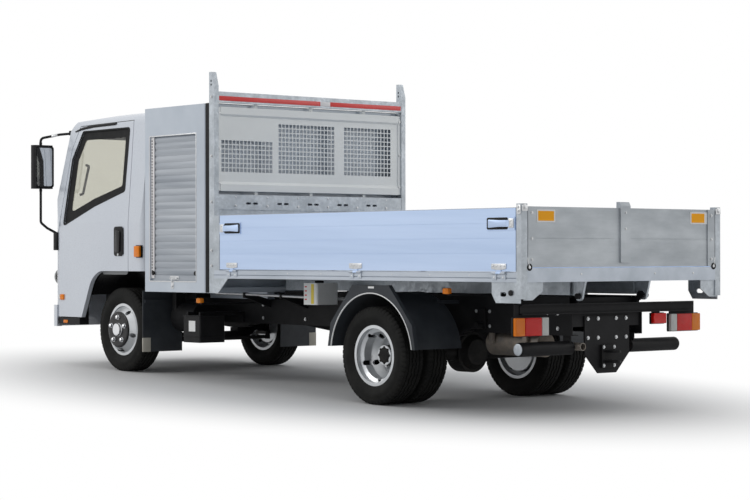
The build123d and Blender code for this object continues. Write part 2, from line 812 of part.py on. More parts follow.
# Mudguards: an arched skin over each pair of rear wheels behind a flat-topped outer plate, and flaps
guard_outer_x = 970.0
guard_inner_x = 500.0
guard_plate = 34.0
guard_radius = 450.0
guard_skin = 6.0
guard_y = 34.0
guard_top = 508.0
guard_foot = 58.0
guard_top_half = 200.0
guard_foot_half = 483.0
guard_stay_half = 250.0
guard_stay_z = (370.0, 394.0)
flap_y = -2960.0
flap_thickness = 8.0
flap_bottom = -76.0
flap_top = 430.0
flap_x = (520.0, 912.0)
with BuildPart() as mudguards:
    with BuildSketch(Plane.YZ.offset(guard_outer_x - guard_plate)):
        with BuildLine():
            Polyline(
                (guard_y - guard_foot_half, guard_foot),
                (guard_y - guard_radius, 230),
                (guard_y - guard_top_half, guard_top),
                (guard_y + guard_top_half, guard_top),
                (guard_y + guard_radius, 230),
                (guard_y + guard_foot_half, guard_foot),
                close=True,
            )
        make_face()
        with Locations((guard_y, 0)):
            Circle(guard_radius, mode=Mode.SUBTRACT)
    extrude(amount=guard_plate)
    with BuildSketch(Plane.YZ.offset(guard_inner_x)):
        with Locations((guard_y, 0)):
            Circle(guard_radius + guard_skin)
            Circle(guard_radius, mode=Mode.SUBTRACT)
        with Locations((guard_y, guard_foot - guard_radius)):
            Rectangle(3 * guard_radius, 2 * guard_radius, mode=Mode.SUBTRACT)
    extrude(amount=guard_outer_x - guard_inner_x)
    for y in (guard_y - guard_stay_half, guard_y + guard_stay_half):
        block((rail_outer_x, guard_inner_x + 40), (y - 15, y + 15), guard_stay_z)
    block(flap_x, (flap_y, flap_y + flap_thickness), (flap_bottom, flap_top))
    flap_bar_y = (flap_y + flap_thickness, flap_y + flap_thickness + 16)
    block((rail_outer_x, flap_x[1] - 12), flap_bar_y, (rail_top - 40, rail_top - 10))
    mirror(about=Plane.YZ)
hand_in(mudguards, "mudguards")

# Lamp carrier across the back, and the lamps on it and along the sides
carrier_front = rail_rear
carrier_half_width = 850.0
carrier_bottom = 320.0
carrier_top = 390.0
carrier_plate = 8.0
lamp_depth = 42.0
# lamp table: inner x, outer x, bottom, top
rear_lamps = [(607.0, 926.0, 175.0, 306.0), (-926.0, -607.0, 175.0, 306.0), (-565.0, -424.0, 232.0, 313.0)]
with BuildPart() as lamp_carrier:
    with BuildSketch(Plane.YZ.offset(-carrier_half_width)):
        with Locations((carrier_front + 15, (carrier_bottom + carrier_top) / 2)):
            Rectangle(30, carrier_top - carrier_bottom)
        with Locations((carrier_front + 20, (carrier_bottom + carrier_top) / 2)):
            Rectangle(30, carrier_top - carrier_bottom - 16, mode=Mode.SUBTRACT)
    extrude(amount=2 * carrier_half_width)
    for inner, outer, low, high in rear_lamps:
        block(
            (inner + 30, outer - 30),
            (carrier_front - carrier_plate, carrier_front),
            (low + 10, carrier_top),
        )
hand_in(lamp_carrier, "lamp_carrier")
side_lamp_x = (860.0, 900.0)
side_lamp_half = 30.0
side_stay_half = 8.0
side_stay_depth = 12.0
# side lamp table: middle y, bottom, top
side_lamps = [(754.0, 452.0, 494.0), (-2185.0, 340.0, 380.0)]
with BuildPart() as lamps:
    for inner, outer, low, high in rear_lamps:
        with BuildSketch(Plane.XZ.offset(-carrier_front)):
            with Locations(((inner + outer) / 2, (low + high) / 2)):
                RectangleRounded(outer - inner, high - low, 8)
        extrude(amount=-lamp_depth)
    for side in (1, -1):
        lamp_x = (side * side_lamp_x[0], side * side_lamp_x[1])[::side]
        stay_x = (side * rail_outer_x, side * (side_lamp_x[0] + 2))[::side]
        for y, low, high in side_lamps:
            block(lamp_x, (y - side_lamp_half, y + side_lamp_half), (low, high))
            block(stay_x, (y - side_stay_half, y + side_stay_half), (low - side_stay_depth, low))
hand_in(lamps, "lamps")

# Tow bracket: a beam between the rails, a drop plate, and a jaw with its pin hole
jaw_y = 1508.0
jaw_z = 20.0
jaw_pin_radius = 16.0
jaw_lip = 16.0
jaw_opening = 54.0
jaw_half_width = 45.0
jaw_plate = 18.0
jaw_plate_half = (70.0, 80.0)
drop_half_width = 222.0
drop_y = 1420.0
drop_thickness = 12.0
drop_top = 300.0
drop_bottom = -96.0
tow_beam_depth = 24.0
tow_beam_z = (228.0, 318.0)
with BuildPart() as tow_bracket:
    block((rail_wall - rail_outer_x, rail_outer_x - rail_wall), (drop_y - tow_beam_depth, drop_y), tow_beam_z)
    with BuildSketch(Plane.XZ.offset(-drop_y)):
        with BuildLine():
            Polyline(
                (-drop_half_width, drop_top),
                (drop_half_width, drop_top),
                (drop_half_width, jaw_z + 20),
                (2 * jaw_half_width, drop_bottom),
                (-2 * jaw_half_width, drop_bottom),
                (-drop_half_width, jaw_z + 20),
                close=True,
            )
        make_face()
    extrude(amount=-drop_thickness)
    jaw_root = drop_y + drop_thickness + jaw_plate
    block(
        (-jaw_plate_half[0], jaw_plate_half[0]),
        (drop_y + drop_thickness, jaw_root),
        (jaw_z - jaw_plate_half[1], jaw_z + jaw_plate_half[1]),
    )
    for low in (jaw_z - jaw_opening / 2 - jaw_lip, jaw_z + jaw_opening / 2):
        with BuildSketch(Plane.XY.offset(low)):
            with BuildLine():
                Polyline(
                    (-jaw_half_width, jaw_root),
                    (jaw_half_width, jaw_root),
                    (jaw_half_width - 5, jaw_y),
                    (5 - jaw_half_width, jaw_y),
                    close=True,
                )
            make_face()
            with Locations((0, jaw_y)):
                Circle(jaw_half_width - 5)
                Circle(jaw_pin_radius, mode=Mode.SUBTRACT)
        extrude(amount=jaw_lip)
hand_in(tow_bracket, "tow_bracket")

# Under-run bar: a round tube out to each side, hung from the rails
bar_y = 1356.0
bar_z = 84.0
bar_radius = 48.0
bar_outer_x = 786.0
bar_inner_x = 290.0
bar_round = 14.0
with BuildPart() as underrun_bar:
    with BuildSketch(Plane.YZ.offset(bar_inner_x)):
        with Locations((bar_y, bar_z)):
            Circle(bar_radius)
    extrude(amount=bar_outer_x - bar_inner_x)
    fillet(underrun_bar.edges().sort_by(Axis.X)[-1], bar_round)
    block((rail_outer_x - 40, rail_outer_x - 28), (bar_y - 34, bar_y + 34), (bar_z, rail_bottom))
    mirror(about=Plane.YZ)
hand_in(underrun_bar, "underrun_bar")

# Tool locker across the frame: a box with a wide opening on each side, and a frame behind it
locker_middle = (locker_front + locker_rear) / 2
locker_length = locker_rear - locker_front
back_frame_depth = 54.0
with BuildPart() as tool_locker:
    with BuildSketch(Plane.XY.offset(locker_bottom)):
        with Locations((0, locker_middle)):
            RectangleRounded(2 * locker_half_width, locker_length, 14)
    extrude(amount=locker_top - locker_bottom)
    block(
        (locker_wall - locker_half_width, locker_half_width - locker_wall),
        (locker_front + locker_wall, locker_rear - locker_wall),
        (locker_bottom + locker_wall, locker_top - locker_wall),
        mode=Mode.SUBTRACT,
    )
    block(
        (-locker_half_width, locker_half_width),
        (shutter_front, shutter_rear),
        (shutter_bottom, shutter_top),
        mode=Mode.SUBTRACT,
    )
    with BuildSketch(Plane.XZ.offset(-locker_rear)):
        with Locations((0, (locker_bottom + locker_top) / 2)):
            Rectangle(2 * locker_half_width - 16, locker_top - locker_bottom)
            Rectangle(2 * locker_half_width - 96, locker_top - locker_bottom - 80, mode=Mode.SUBTRACT)
    extrude(amount=-back_frame_depth)
    for side in (1, -1):
        block(
            (side * (rail_outer_x - 70), side * rail_outer_x)[::side],
            (locker_front + 30, locker_rear - 30),
            (rail_top, locker_bottom),
        )
hand_in(tool_locker, "tool_locker")

# Roller shutters of the locker: crowned slats over a bottom rail, one curtain to each side
shutter_x = locker_half_width - shutter_recess
slats_bottom = shutter_bottom + shutter_rail_height
slat_height = (shutter_top - slats_bottom) / slat_count
slat_crown = 6.0
shutter_skin = 8.0
with BuildPart() as locker_shutters:
    with BuildSketch(Plane.XZ.offset(-shutter_rear)):
        with BuildLine():
            for number in range(slat_count):
                low = slats_bottom + number * slat_height
                middle = (shutter_x + slat_crown, low + slat_height / 2)
                ThreePointArc((shutter_x, low), middle, (shutter_x, low + slat_height))
            Polyline(
                (shutter_x, shutter_top),
                (shutter_x - shutter_skin, shutter_top),
                (shutter_x - shutter_skin, shutter_bottom),
                (shutter_x + slat_crown, shutter_bottom),
                (shutter_x + slat_crown, slats_bottom),
                (shutter_x, slats_bottom),
            )
        make_face()
    extrude(amount=shutter_rear - shutter_front)
    mirror(about=Plane.YZ)
hand_in(locker_shutters, "locker_shutters")

# Bed floor with its side rails, end rails and cross bearers
floor_half_width = bed_half_width - board_thickness - moving_gap
inner_rail_x = bed_half_width - side_rail_width
post_inner_x = bed_half_width - post_width
rear_rail_top = 634.0
hinge_ys = (-1600.0, -100.0, 1390.0)
knuckle_length = 44.0
with BuildPart() as bed_floor:
    block(
        (-floor_half_width, floor_half_width),
        (bed_front + post_depth, bed_rear - corner_post_depth),
        (floor_top - floor_plate, floor_top),
    )
    with BuildSketch(Plane.XZ.offset(corner_post_depth - bed_rear)):
        for side in (1, -1):
            with BuildLine():
                Polyline(
                    (side * inner_rail_x, side_rail_bottom),
                    (side * bed_half_width, side_rail_bottom),
                    (side * bed_half_width, side_rail_bottom + 24),
                    (side * (bed_half_width - 5), side_rail_bottom + 27),
                    (side * bed_half_width, side_rail_bottom + 30),
                    (side * bed_half_width, floor_top - floor_lip),
                    (side * inner_rail_x, floor_top - floor_lip),
                    close=True,
                )
            make_face()
    extrude(amount=bed_rear - corner_post_depth - bed_front - post_depth)
    block(
        (corner_post_width - bed_half_width, bed_half_width - corner_post_width),
        (bed_rear - corner_post_depth, bed_rear),
        (side_rail_bottom, rear_rail_top),
    )
    front_rail_y = (bed_front, bed_front + post_depth)
    block((-post_inner_x, post_inner_x), front_rail_y, (side_rail_bottom, floor_top - floor_lip))
    bearer_span = bed_rear - bed_front - post_depth - corner_post_depth
    for number in range(bearer_count):
        y = bed_front + post_depth + (number + 0.5) * bearer_span / bearer_count
        block(
            (-inner_rail_x, inner_rail_x),
            (y - bearer_width / 2, y + bearer_width / 2),
            (side_rail_bottom, floor_top - floor_plate),
        )
    for side in (1, -1):
        for y in hinge_ys:
            for start in (y - 1.5 * knuckle_length, y + 0.5 * knuckle_length):
                with BuildSketch(Plane.XZ.offset(-(start + knuckle_length))):
                    with Locations((side * side_hinge_x, side_hinge_z)):
                        Circle(side_hinge_radius)
                    with Locations((side * (bed_half_width + side_hinge_leaf / 2), side_hinge_z - 22)):
                        Rectangle(side_hinge_leaf, 44)
                extrude(amount=knuckle_length)
hand_in(bed_floor, "bed_floor")

# Runners under the bed, with the lugs of the tipping hinge and the socket pad over the ram's ball
pad_bottom = ram_ball_z + ram_ball_radius + running_gap
runner_front = subframe_front + 10.0
runner_rear = tip_pivot_y - 66.0
lug_x = ear_x + ear_plate + 6.0
lug_plate = 16.0
lug_radius = 33.0
with BuildPart() as bed_runners:
    with BuildSketch(Plane.XZ.offset(-runner_rear)):
        with Locations((rail_outer_x - runner_width / 2, runner_bottom + runner_depth / 2)):
            Rectangle(runner_width, runner_depth)
            Rectangle(runner_width - 2 * rail_wall, runner_depth - 2 * rail_wall, mode=Mode.SUBTRACT)
    extrude(amount=runner_rear - runner_front)
    with BuildSketch(Plane.YZ.offset(lug_x)):
        with BuildLine():
            Polyline(
                (runner_rear - 60, side_rail_bottom),
                (tip_pivot_y + 60, side_rail_bottom),
                (tip_pivot_y + lug_radius, tip_pivot_z),
                (tip_pivot_y - lug_radius, tip_pivot_z),
                (runner_rear - 60, runner_bottom + 10),
                close=True,
            )
        make_face()
        with Locations((tip_pivot_y, tip_pivot_z)):
            Circle(lug_radius)
            Circle(tip_pin_radius + running_gap, mode=Mode.SUBTRACT)
    extrude(amount=lug_plate)
    block((0, rail_outer_x - runner_width), (ram_y - 100, ram_y + 100), (pad_bottom, side_rail_bottom))
    mirror(about=Plane.YZ)
hand_in(bed_runners, "bed_runners")

# Headboard frame: posts with tapered tops, a top bar, a slotted lower beam and the boards below it
sheet_y = bed_front + post_depth / 2 + 8.0
slot_xs = (-620.0, -310.0, 0.0, 310.0, 620.0)
post_taper = 110.0
with BuildPart() as headboard_frame:
    with BuildSketch(Plane.YZ.offset(post_inner_x)):
        with BuildLine():
            Polyline(
                (bed_front, post_bottom),
                (bed_front, post_top),
                (bed_front + post_depth / 2, post_top),
                (bed_front + post_depth, post_top - post_taper),
                (bed_front + post_depth, post_bottom),
                close=True,
            )
        make_face()
        for z in (post_top - 70, post_top - 100):
            with Locations((bed_front + post_depth / 2 - 6, z)):
                Circle(9, mode=Mode.SUBTRACT)
    extrude(amount=post_width)
    with BuildSketch(Plane.YZ.offset(bed_half_width - 10)):
        with BuildLine():
            Polyline(
                (bed_front + post_depth, post_bottom),
                (bed_front + post_depth + 50, post_bottom),
                (bed_front + post_depth + 180, side_rail_bottom),
                (bed_front + post_depth, side_rail_bottom),
                close=True,
            )
        make_face()
    extrude(amount=10)
    block(
        (bed_half_width - board_thickness, bed_half_width),
        (bed_front + post_depth, bed_front + post_depth + filler_length),
        (floor_top - floor_lip, board_top),
    )
    block((0, post_inner_x), (sheet_y - 22, sheet_y + 22), (bar_top - bar_depth, bar_top))
    with BuildSketch(Plane.XZ.offset(-(sheet_y + 22))):
        with Locations((0, (beam_top + beam_bottom) / 2)):
            Rectangle(2 * post_inner_x, beam_top - beam_bottom)
        for x in slot_xs:
            stud_z = (beam_top + beam_bottom) / 2 - 8
            with Locations((x - 34, stud_z), (x + 34, stud_z)):
                SlotOverall(48, 17, mode=Mode.SUBTRACT)
    extrude(amount=40)
    block((0, post_inner_x), (sheet_y - 14, sheet_y + 14), (floor_top - floor_lip, beam_bottom))
    mirror(about=Plane.YZ)
hand_in(headboard_frame, "headboard_frame")

# Grille of the headboard: a folded sheet with three windows of square mesh
fold = 12.0
sheet = 4.0
# window table: left edge x, columns, bottom z, rows
mesh_windows = [(910.0, 14, 1376.0, 7), (344.0, 16, 1376.0, 11), (-336.0, 14, 1376.0, 11)]
fold_reach = 16.0
grille_tab_xs = (560.0, 0.0, -560.0)
flat_bottom = grille_bottom + 72.0
flat_top = grille_top - 72.0
with BuildPart() as headboard_grille:
    with BuildSketch(Plane.YZ.offset(-grille_half_width)):
        with BuildLine():
            folded = Polyline(
                (sheet_y - fold_reach, grille_top - sheet),
                (sheet_y + fold, grille_top - sheet),
                (sheet_y + fold, flat_top + 16),
                (sheet_y, flat_top),
                (sheet_y, flat_bottom),
                (sheet_y + fold, flat_bottom - 22),
                (sheet_y + fold, grille_bottom),
                (sheet_y - fold_reach, grille_bottom),
            )
            offset(folded, amount=sheet, side=Side.LEFT)
        make_face()
    extrude(amount=2 * grille_half_width)
    with BuildSketch(Plane.XZ.offset(-sheet_y - 10)):
        for left, columns, low, rows in mesh_windows:
            with Locations((left - columns * mesh_pitch / 2, low + rows * mesh_pitch / 2)):
                with GridLocations(mesh_pitch, mesh_pitch, columns, rows):
                    Rectangle(mesh_hole, mesh_hole)
    extrude(amount=20, mode=Mode.SUBTRACT)
    for side in (1, -1):
        block(
            (side * (grille_half_width - 1), side * post_inner_x)[::side],
            (sheet_y, sheet_y + fold),
            (grille_bottom, grille_top - sheet),
        )
    for x in grille_tab_xs:
        for tab_z in ((beam_top, grille_bottom + sheet), (grille_top - sheet, bar_top - bar_depth)):
            block((x - 15, x + 15), (sheet_y - fold_reach + 2, sheet_y - sheet), tab_z)
hand_in(headboard_grille, "headboard_grille")

# Corner posts at the rear, with a gusset under the floor and a closing plate across its end
gusset_front = 1313.0
gusset_bottom = 402.0
with BuildPart() as corner_posts:
    block(
        (bed_half_width - corner_post_width, bed_half_width),
        (bed_rear - corner_post_depth, bed_rear),
        (corner_post_bottom, corner_post_top),
    )
    with BuildSketch(Plane.YZ.offset(bed_half_width - 14)):
        with BuildLine():
            Polyline(
                (gusset_front, side_rail_bottom),
                (bed_rear - 20, side_rail_bottom),
                (bed_rear - 20, gusset_bottom),
                (gusset_front + 40, gusset_bottom),
                (gusset_front, gusset_bottom + 60),
                close=True,
            )
        make_face()
        with Locations((gusset_front + 110, 460)):
            SlotOverall(60, 30, mode=Mode.SUBTRACT)
    extrude(amount=8)
    with BuildSketch(Plane.XZ.offset(8 - bed_rear)):
        with BuildLine():
            Polyline(
                (bed_half_width - 30, side_rail_bottom),
                (bed_half_width - 205, side_rail_bottom),
                (bed_half_width - 205, side_rail_bottom - 60),
                (bed_half_width - 110, gusset_bottom + 20),
                (bed_half_width - 30, gusset_bottom + 20),
                close=True,
            )
        make_face()
    extrude(amount=8)
    mirror(about=Plane.YZ)
    pin_bore = tailgate_pin_radius + running_gap
    with Locations((0, tailgate_pivot_y, tailgate_pivot_z)):
        Cylinder(pin_bore, 2 * (bed_half_width - 12), rotation=(0, 90, 0), mode=Mode.SUBTRACT)
hand_in(corner_posts, "corner_posts")

# Dropsides: planks joined edge to edge, hinged along the side rail, with a latch at each end
dropside_bottom = floor_top + moving_gap
latch_plate = 6.0
latch_length = 270.0
latch_z = (886.0, 974.0)
dropside_inner_x = bed_half_width - board_thickness
for name, side in sides:
    with BuildPart() as dropside:
        with BuildSketch(Plane.XZ.offset(-dropside_rear)):
            with Locations((side * (bed_half_width - board_thickness / 2), (board_top + dropside_bottom) / 2)):
                Rectangle(board_thickness, board_top - dropside_bottom)
            for x in (dropside_inner_x, bed_half_width):
                with Locations(*[(side * x, plank_line + step) for step in (-100, 0, 100)]):
                    Rectangle(plank_groove, plank_groove, mode=Mode.SUBTRACT)
        extrude(amount=dropside_rear - dropside_front)
        for y in hinge_ys:
            with BuildSketch(Plane.XZ.offset(-(y + 0.5 * knuckle_length - running_gap))):
                with Locations((side * side_hinge_x, side_hinge_z)):
                    Circle(side_hinge_radius)
                with Locations((side * (bed_half_width + side_hinge_leaf / 2), side_hinge_z + 26)):
                    Rectangle(side_hinge_leaf, 52)
            extrude(amount=knuckle_length - 2 * running_gap)
        for start in (dropside_front + 4, dropside_rear - 4 - latch_length):
            plate_x = (side * bed_half_width, side * (bed_half_width + latch_plate))[::side]
            block(plate_x, (start, start + latch_length), latch_z)
            grip_x = (side * (bed_half_width + latch_plate), side * (bed_half_width + 2 * latch_plate))[::side]
            block(grip_x, (start + 50, start + latch_length - 50), (latch_z[0] + 22, latch_z[1] - 22))
    hand_in(dropside, f"dropside_{name}")

# Tailgate hung between the corner posts by pins at its top, with end posts and a middle post
tailgate_half = bed_half_width - corner_post_width - moving_gap
with BuildPart() as tailgate:
    with BuildSketch(Plane.YZ.offset(-tailgate_half)):
        with Locations((bed_rear - 8 - board_thickness / 2, (tailgate_top + tailgate_bottom) / 2)):
            Rectangle(board_thickness, tailgate_top - tailgate_bottom)
        with Locations((bed_rear - 8, plank_line)):
            Rectangle(plank_groove, plank_groove, mode=Mode.SUBTRACT)
    extrude(amount=2 * tailgate_half)
    for side in (1, -1):
        block(
            (side * (tailgate_half - tailgate_end_post), side * tailgate_half)[::side],
            (bed_rear - 8, bed_rear),
            (tailgate_bottom, tailgate_top),
        )
        with BuildSketch(Plane.YZ.offset(side * (tailgate_half - 4))):
            with Locations((tailgate_pivot_y, tailgate_pivot_z)):
                Circle(tailgate_pin_radius)
        extrude(amount=side * (corner_post_width + moving_gap - 12))
    with BuildSketch(Plane.YZ.offset(-48)):
        with BuildLine():
            Polyline(
                (bed_rear - 8, 668),
                (bed_rear + 6, 668),
                (bed_rear + 6, 1056),
                (bed_rear - 8, 1084),
                (bed_rear - 38, 1084),
                (bed_rear - 38, tailgate_top),
                (bed_rear - 8, tailgate_top),
                close=True,
            )
        make_face()
    extrude(amount=96)
hand_in(tailgate, "tailgate")

# Cab: one form cut from its side, front and plan outlines, and drawn again further in for its inside
nose_shoulder = 620.0
nose_lean = 22.0
screen_top = (-4166.0, 1800.0)
roof_edge = (-4080.0, 1880.0)
roof_crown_y = -3300.0
tumblehome = 66.0
waist = 1000.0
roof_round = 90.0
corner_round = 150.0
back_round = 60.0
arch_back = -3720.0
arch_round = 240.0
engine_lid = (635.0, 800.0)
engine_lid_x = (-780.0, 780.0)
engine_lid_front = -3600.0
door_pin_hold = 50.0


def cab_form(inset, bottom):
    """The cab's outer form taken in by inset on every side, from the height called bottom upwards."""
    side_x = cab_half_width - inset
    front, rear, roof = cab_front + inset, cab_rear - inset, cab_roof - inset
    with BuildPart() as form:
        with BuildSketch(Plane.YZ.offset(-side_x)):
            with BuildLine():
                Polyline(
                    (front, bottom),
                    (front, nose_shoulder),
                    (front + nose_lean, windscreen_foot),
                    (screen_top[0] + inset, screen_top[1] - inset / 2),
                    (roof_edge[0] + inset / 2, roof_edge[1] - inset),
                    (roof_crown_y, roof),
                    (rear, roof),
                    (rear, bottom),
                    close=True,
                )
            make_face()
        extrude(amount=2 * side_x)
        with BuildSketch(Plane.XZ.offset(-rear)) as front_view:
            with BuildLine():
                Polyline(
                    (side_x, bottom),
                    (side_x, waist),
                    (side_x - tumblehome, roof),
                    (tumblehome - side_x, roof),
                    (-side_x, waist),
                    (-side_x, bottom),
                    close=True,
                )
            make_face()
            fillet(front_view.vertices().group_by(Axis.Y)[-1], roof_round - inset)
        extrude(amount=rear - front, mode=Mode.INTERSECT)
        with BuildSketch(Plane.XY.offset(bottom)) as plan:
            with Locations((0, (front + rear) / 2)):
                Rectangle(2 * side_x, rear - front)
            fillet(plan.vertices().group_by(Axis.Y)[0], corner_round - inset)
            fillet(plan.vertices().group_by(Axis.Y)[-1], back_round - inset)
        extrude(amount=cab_roof, mode=Mode.INTERSECT)
    return form.part


def arch_space(grow):
    """The room under the cab for the front wheels, its outline grown by the thickness of the floor."""
    with BuildPart() as space:
        with BuildSketch(Plane.YZ.offset(-cab_half_width - 20)) as outline:
            with BuildLine():
                Polyline(
                    (arch_front - 10 - grow, 0),
                    (arch_front - grow, skirt_bottom),
                    (arch_back - grow / 2, arch_top + grow),
                    (cab_rear + 100, arch_top + grow),
                    (cab_rear + 100, 0),
                    close=True,
                )
            make_face()
            corner = (arch_back - grow / 2, arch_top + grow)
            fillet(outline.vertices().sort_by_distance(corner)[0], arch_round)
        extrude(amount=2 * (cab_half_width + 20))
    return space.part


def outline_prism(points, from_x, to_x, round_radius=0.0, grow=0.0):
    """A prism through one side of the cab, from an outline of (y, z) points."""
    with BuildPart() as prism:
        with BuildSketch(Plane.YZ.offset(from_x)) as outline:
            with BuildLine():
                Polyline(*points, close=True)
            make_face()
            if round_radius:
                fillet(outline.vertices(), round_radius)
            if grow:
                offset(amount=grow, kind=Kind.INTERSECTION)
        extrude(amount=to_x - from_x)
    return prism.part


door_outline = [
    (door_front, 60.0),
    (door_front, 930.0),
    (-4124.0, 1640.0),
    (-4006.0, 1836.0),
    (door_rear, 1850.0),
    (door_rear, 60.0),
]
window_outline = [
    (-4194.0, 984.0),
    (-4107.0, 1555.0),
    (-3960.0, 1788.0),
    (-3240.0, 1790.0),
    (-3262.0, 1264.0),
    (-3717.0, 1146.0),
]
window_round = 28.0
reach = cab_half_width + 20.0
door_depth_x = 740.0
screen_half_foot = 800.0
screen_half_top = 750.0
screen_bottom = 1014.0
screen_height = 1772.0
rear_window = (420.0, 1330.0, 1740.0)
grille_half = 430.0
grille_z = (400.0, 596.0)
bar_count = 4
lamp_outline = [(500.0, 452.0), (560.0, 610.0), (890.0, 660.0), (890.0, 420.0), (560.0, 400.0)]
lamp_back = cab_front + 120.0
lug_thickness = 20.0
cab_lug_x = rail_outer_x + moving_gap
step_top = skirt_bottom - moving_gap
wall_inner_x = cab_half_width - cab_wall
floor_under = foot_floor - cab_wall

with BuildPart() as windscreen_prism:
    with BuildSketch(Plane.XZ.offset(4100)) as outline:
        with BuildLine():
            Polyline(
                (-screen_half_foot, screen_bottom),
                (screen_half_foot, screen_bottom),
                (screen_half_top, screen_height),
                (-screen_half_top, screen_height),
                close=True,
            )
        make_face()
        fillet(outline.vertices(), 50)
    extrude(amount=400)
with BuildPart() as rear_window_prism:
    with BuildSketch(Plane.XZ.offset(2900)):
        with Locations((0, (rear_window[1] + rear_window[2]) / 2)):
            RectangleRounded(2 * rear_window[0], rear_window[2] - rear_window[1], 50)
    extrude(amount=200)
with BuildPart() as lamp_prisms:
    with BuildSketch(Plane.XZ.offset(-lamp_back)):
        with BuildLine():
            Polyline(*lamp_outline, close=True)
        make_face()
    extrude(amount=300)
    mirror(about=Plane.YZ)
with BuildPart() as grille_prism:
    block((-grille_half, grille_half), (cab_front - 20, cab_front + cab_wall + 20), grille_z)

core = cab_form(cab_wall, 0)
door_core = cab_form(cab_wall + 2 * moving_gap, 0)
with BuildPart() as cabin:
    add(cab_form(cab_wall, foot_floor))
    add(arch_space(cab_wall), mode=Mode.SUBTRACT)
with BuildPart() as door_openings:
    for side in (1, -1):
        add(outline_prism(door_outline, side * door_depth_x, side * reach, grow=moving_gap))
    add(door_core, mode=Mode.SUBTRACT)
with BuildPart() as cab_shell:
    add(cab_form(0, skirt_bottom))
    add(cabin.part, mode=Mode.SUBTRACT)
    add(arch_space(0), mode=Mode.SUBTRACT)
    block(
        (-wall_inner_x, wall_inner_x),
        (cab_front + cab_wall, arch_back),
        (0, floor_under),
        mode=Mode.SUBTRACT,
    )
    block((-reach, reach), (cab_front - 20, bumper_front + 140), (0, bumper_top), mode=Mode.SUBTRACT)
    add(door_openings.part, mode=Mode.SUBTRACT)
    for prism in (windscreen_prism, rear_window_prism, lamp_prisms, grille_prism):
        add(prism.part, mode=Mode.SUBTRACT)
    block(engine_lid_x, (engine_lid_front, cab_rear - cab_wall), engine_lid)
    for side in (1, -1):
        with Locations((side * door_hinge_x, door_hinge_y, door_pin_top - door_pin_hold)):
            Cylinder(door_pin_radius + running_gap, 2 * door_pin_hold + 4, mode=Mode.SUBTRACT)
    for x in (cab_lug_x, -cab_lug_x - lug_thickness):
        with BuildSketch(Plane.YZ.offset(x)):
            with BuildLine():
                Polyline(
                    (cab_pivot_y - 40, floor_under),
                    (cab_pivot_y + 60, floor_under),
                    (cab_pivot_y + 34, cab_pivot_z),
                    (cab_pivot_y - 34, cab_pivot_z),
                    close=True,
                )
            make_face()
            with Locations((cab_pivot_y, cab_pivot_z)):
                Circle(34)
                Circle(cab_pin_radius + running_gap, mode=Mode.SUBTRACT)
        extrude(amount=lug_thickness)
hand_in(cab_shell, "cab_shell")

# Glass: sheets that follow the cab's form a little inside its skin
with BuildPart() as glass_skin:
    add(cab_form(glass_depth, skirt_bottom))
    add(cab_form(glass_depth + glass_thickness, 0), mode=Mode.SUBTRACT)
with BuildPart() as cab_glass:
    add(windscreen_prism.part)
    add(rear_window_prism.part)
    add(glass_skin.part, mode=Mode.INTERSECT)
hand_in(cab_glass, "cab_glass")

# Doors: the cab's side wall inside the shut lines, with the window cut and a handle plate outside
handle_y = (-3386.0, -3250.0)
handle_z = (719.0, 961.0)
for name, side in sides:
    window = outline_prism(window_outline, side * door_depth_x, side * reach, round_radius=window_round)
    with BuildPart() as door:
        add(cab_form(0, skirt_bottom))
        add(core, mode=Mode.SUBTRACT)
        add(arch_space(0), mode=Mode.SUBTRACT)
        add(outline_prism(door_outline, side * door_depth_x, side * reach), mode=Mode.INTERSECT)
        add(window, mode=Mode.SUBTRACT)
        block((side * (cab_half_width - 4), side * (cab_half_width + 6))[::side], handle_y, handle_z)
        with BuildSketch(Plane.XY.offset(door_relief_bottom)):
            with Locations((side * door_hinge_x, door_hinge_y)):
                Circle(door_relief_radius)
        extrude(amount=2 * (door_pin_top - door_relief_bottom), mode=Mode.SUBTRACT)
        with BuildSketch(Plane.XY.offset(step_top + running_gap)):
            with Locations((side * door_hinge_x, door_hinge_y)):
                Circle(door_pin_radius)
        extrude(amount=door_pin_top - step_top - running_gap)
    hand_in(door, f"door_{name}")
    with BuildPart() as door_glass:
        add(window)
        add(glass_skin.part, mode=Mode.INTERSECT)
    hand_in(door_glass, f"door_glass_{name}")

# Bumper wrapped round the cab's foot, headlamps and grille let into its front, steps under the doors
bumper_wall = 50.0
bumper_depth = 140.0
with BuildPart() as bumper:
    with BuildSketch(Plane.XY.offset(bumper_bottom)) as outline:
        with Locations((0, bumper_front + bumper_depth / 2)):
            Rectangle(2 * bumper_half_width, bumper_depth)
        fillet(outline.vertices().group_by(Axis.Y)[0], 120)
        with Locations((0, bumper_front + bumper_wall + bumper_depth / 2)):
            Rectangle(2 * (bumper_half_width - bumper_wall), bumper_depth, mode=Mode.SUBTRACT)
    extrude(amount=bumper_top - bumper_bottom)
hand_in(bumper, "bumper")
with BuildPart() as headlamps:
    add(cab_form(0, skirt_bottom))
    add(core, mode=Mode.SUBTRACT)
    add(lamp_prisms.part, mode=Mode.INTERSECT)
hand_in(headlamps, "headlamps")
with BuildPart() as front_grille:
    add(cab_form(8, skirt_bottom))
    add(core, mode=Mode.SUBTRACT)
    add(grille_prism.part, mode=Mode.INTERSECT)
    bar_pitch = (grille_z[1] - grille_z[0]) / bar_count
    for number in range(bar_count):
        low = grille_z[0] + (number + 0.3) * bar_pitch
        block(
            (30 - grille_half, grille_half - 30),
            (cab_front - 20, cab_front + cab_wall - 8),
            (low, low + 0.45 * bar_pitch),
            mode=Mode.SUBTRACT,
        )
hand_in(front_grille, "front_grille")
step_inner_x = 812.0
step_outer_x = 905.0
step_bottom = 125.0
step_rear = -3940.0
step_length = 346.0
step_plate_x = wall_inner_x - 13.0
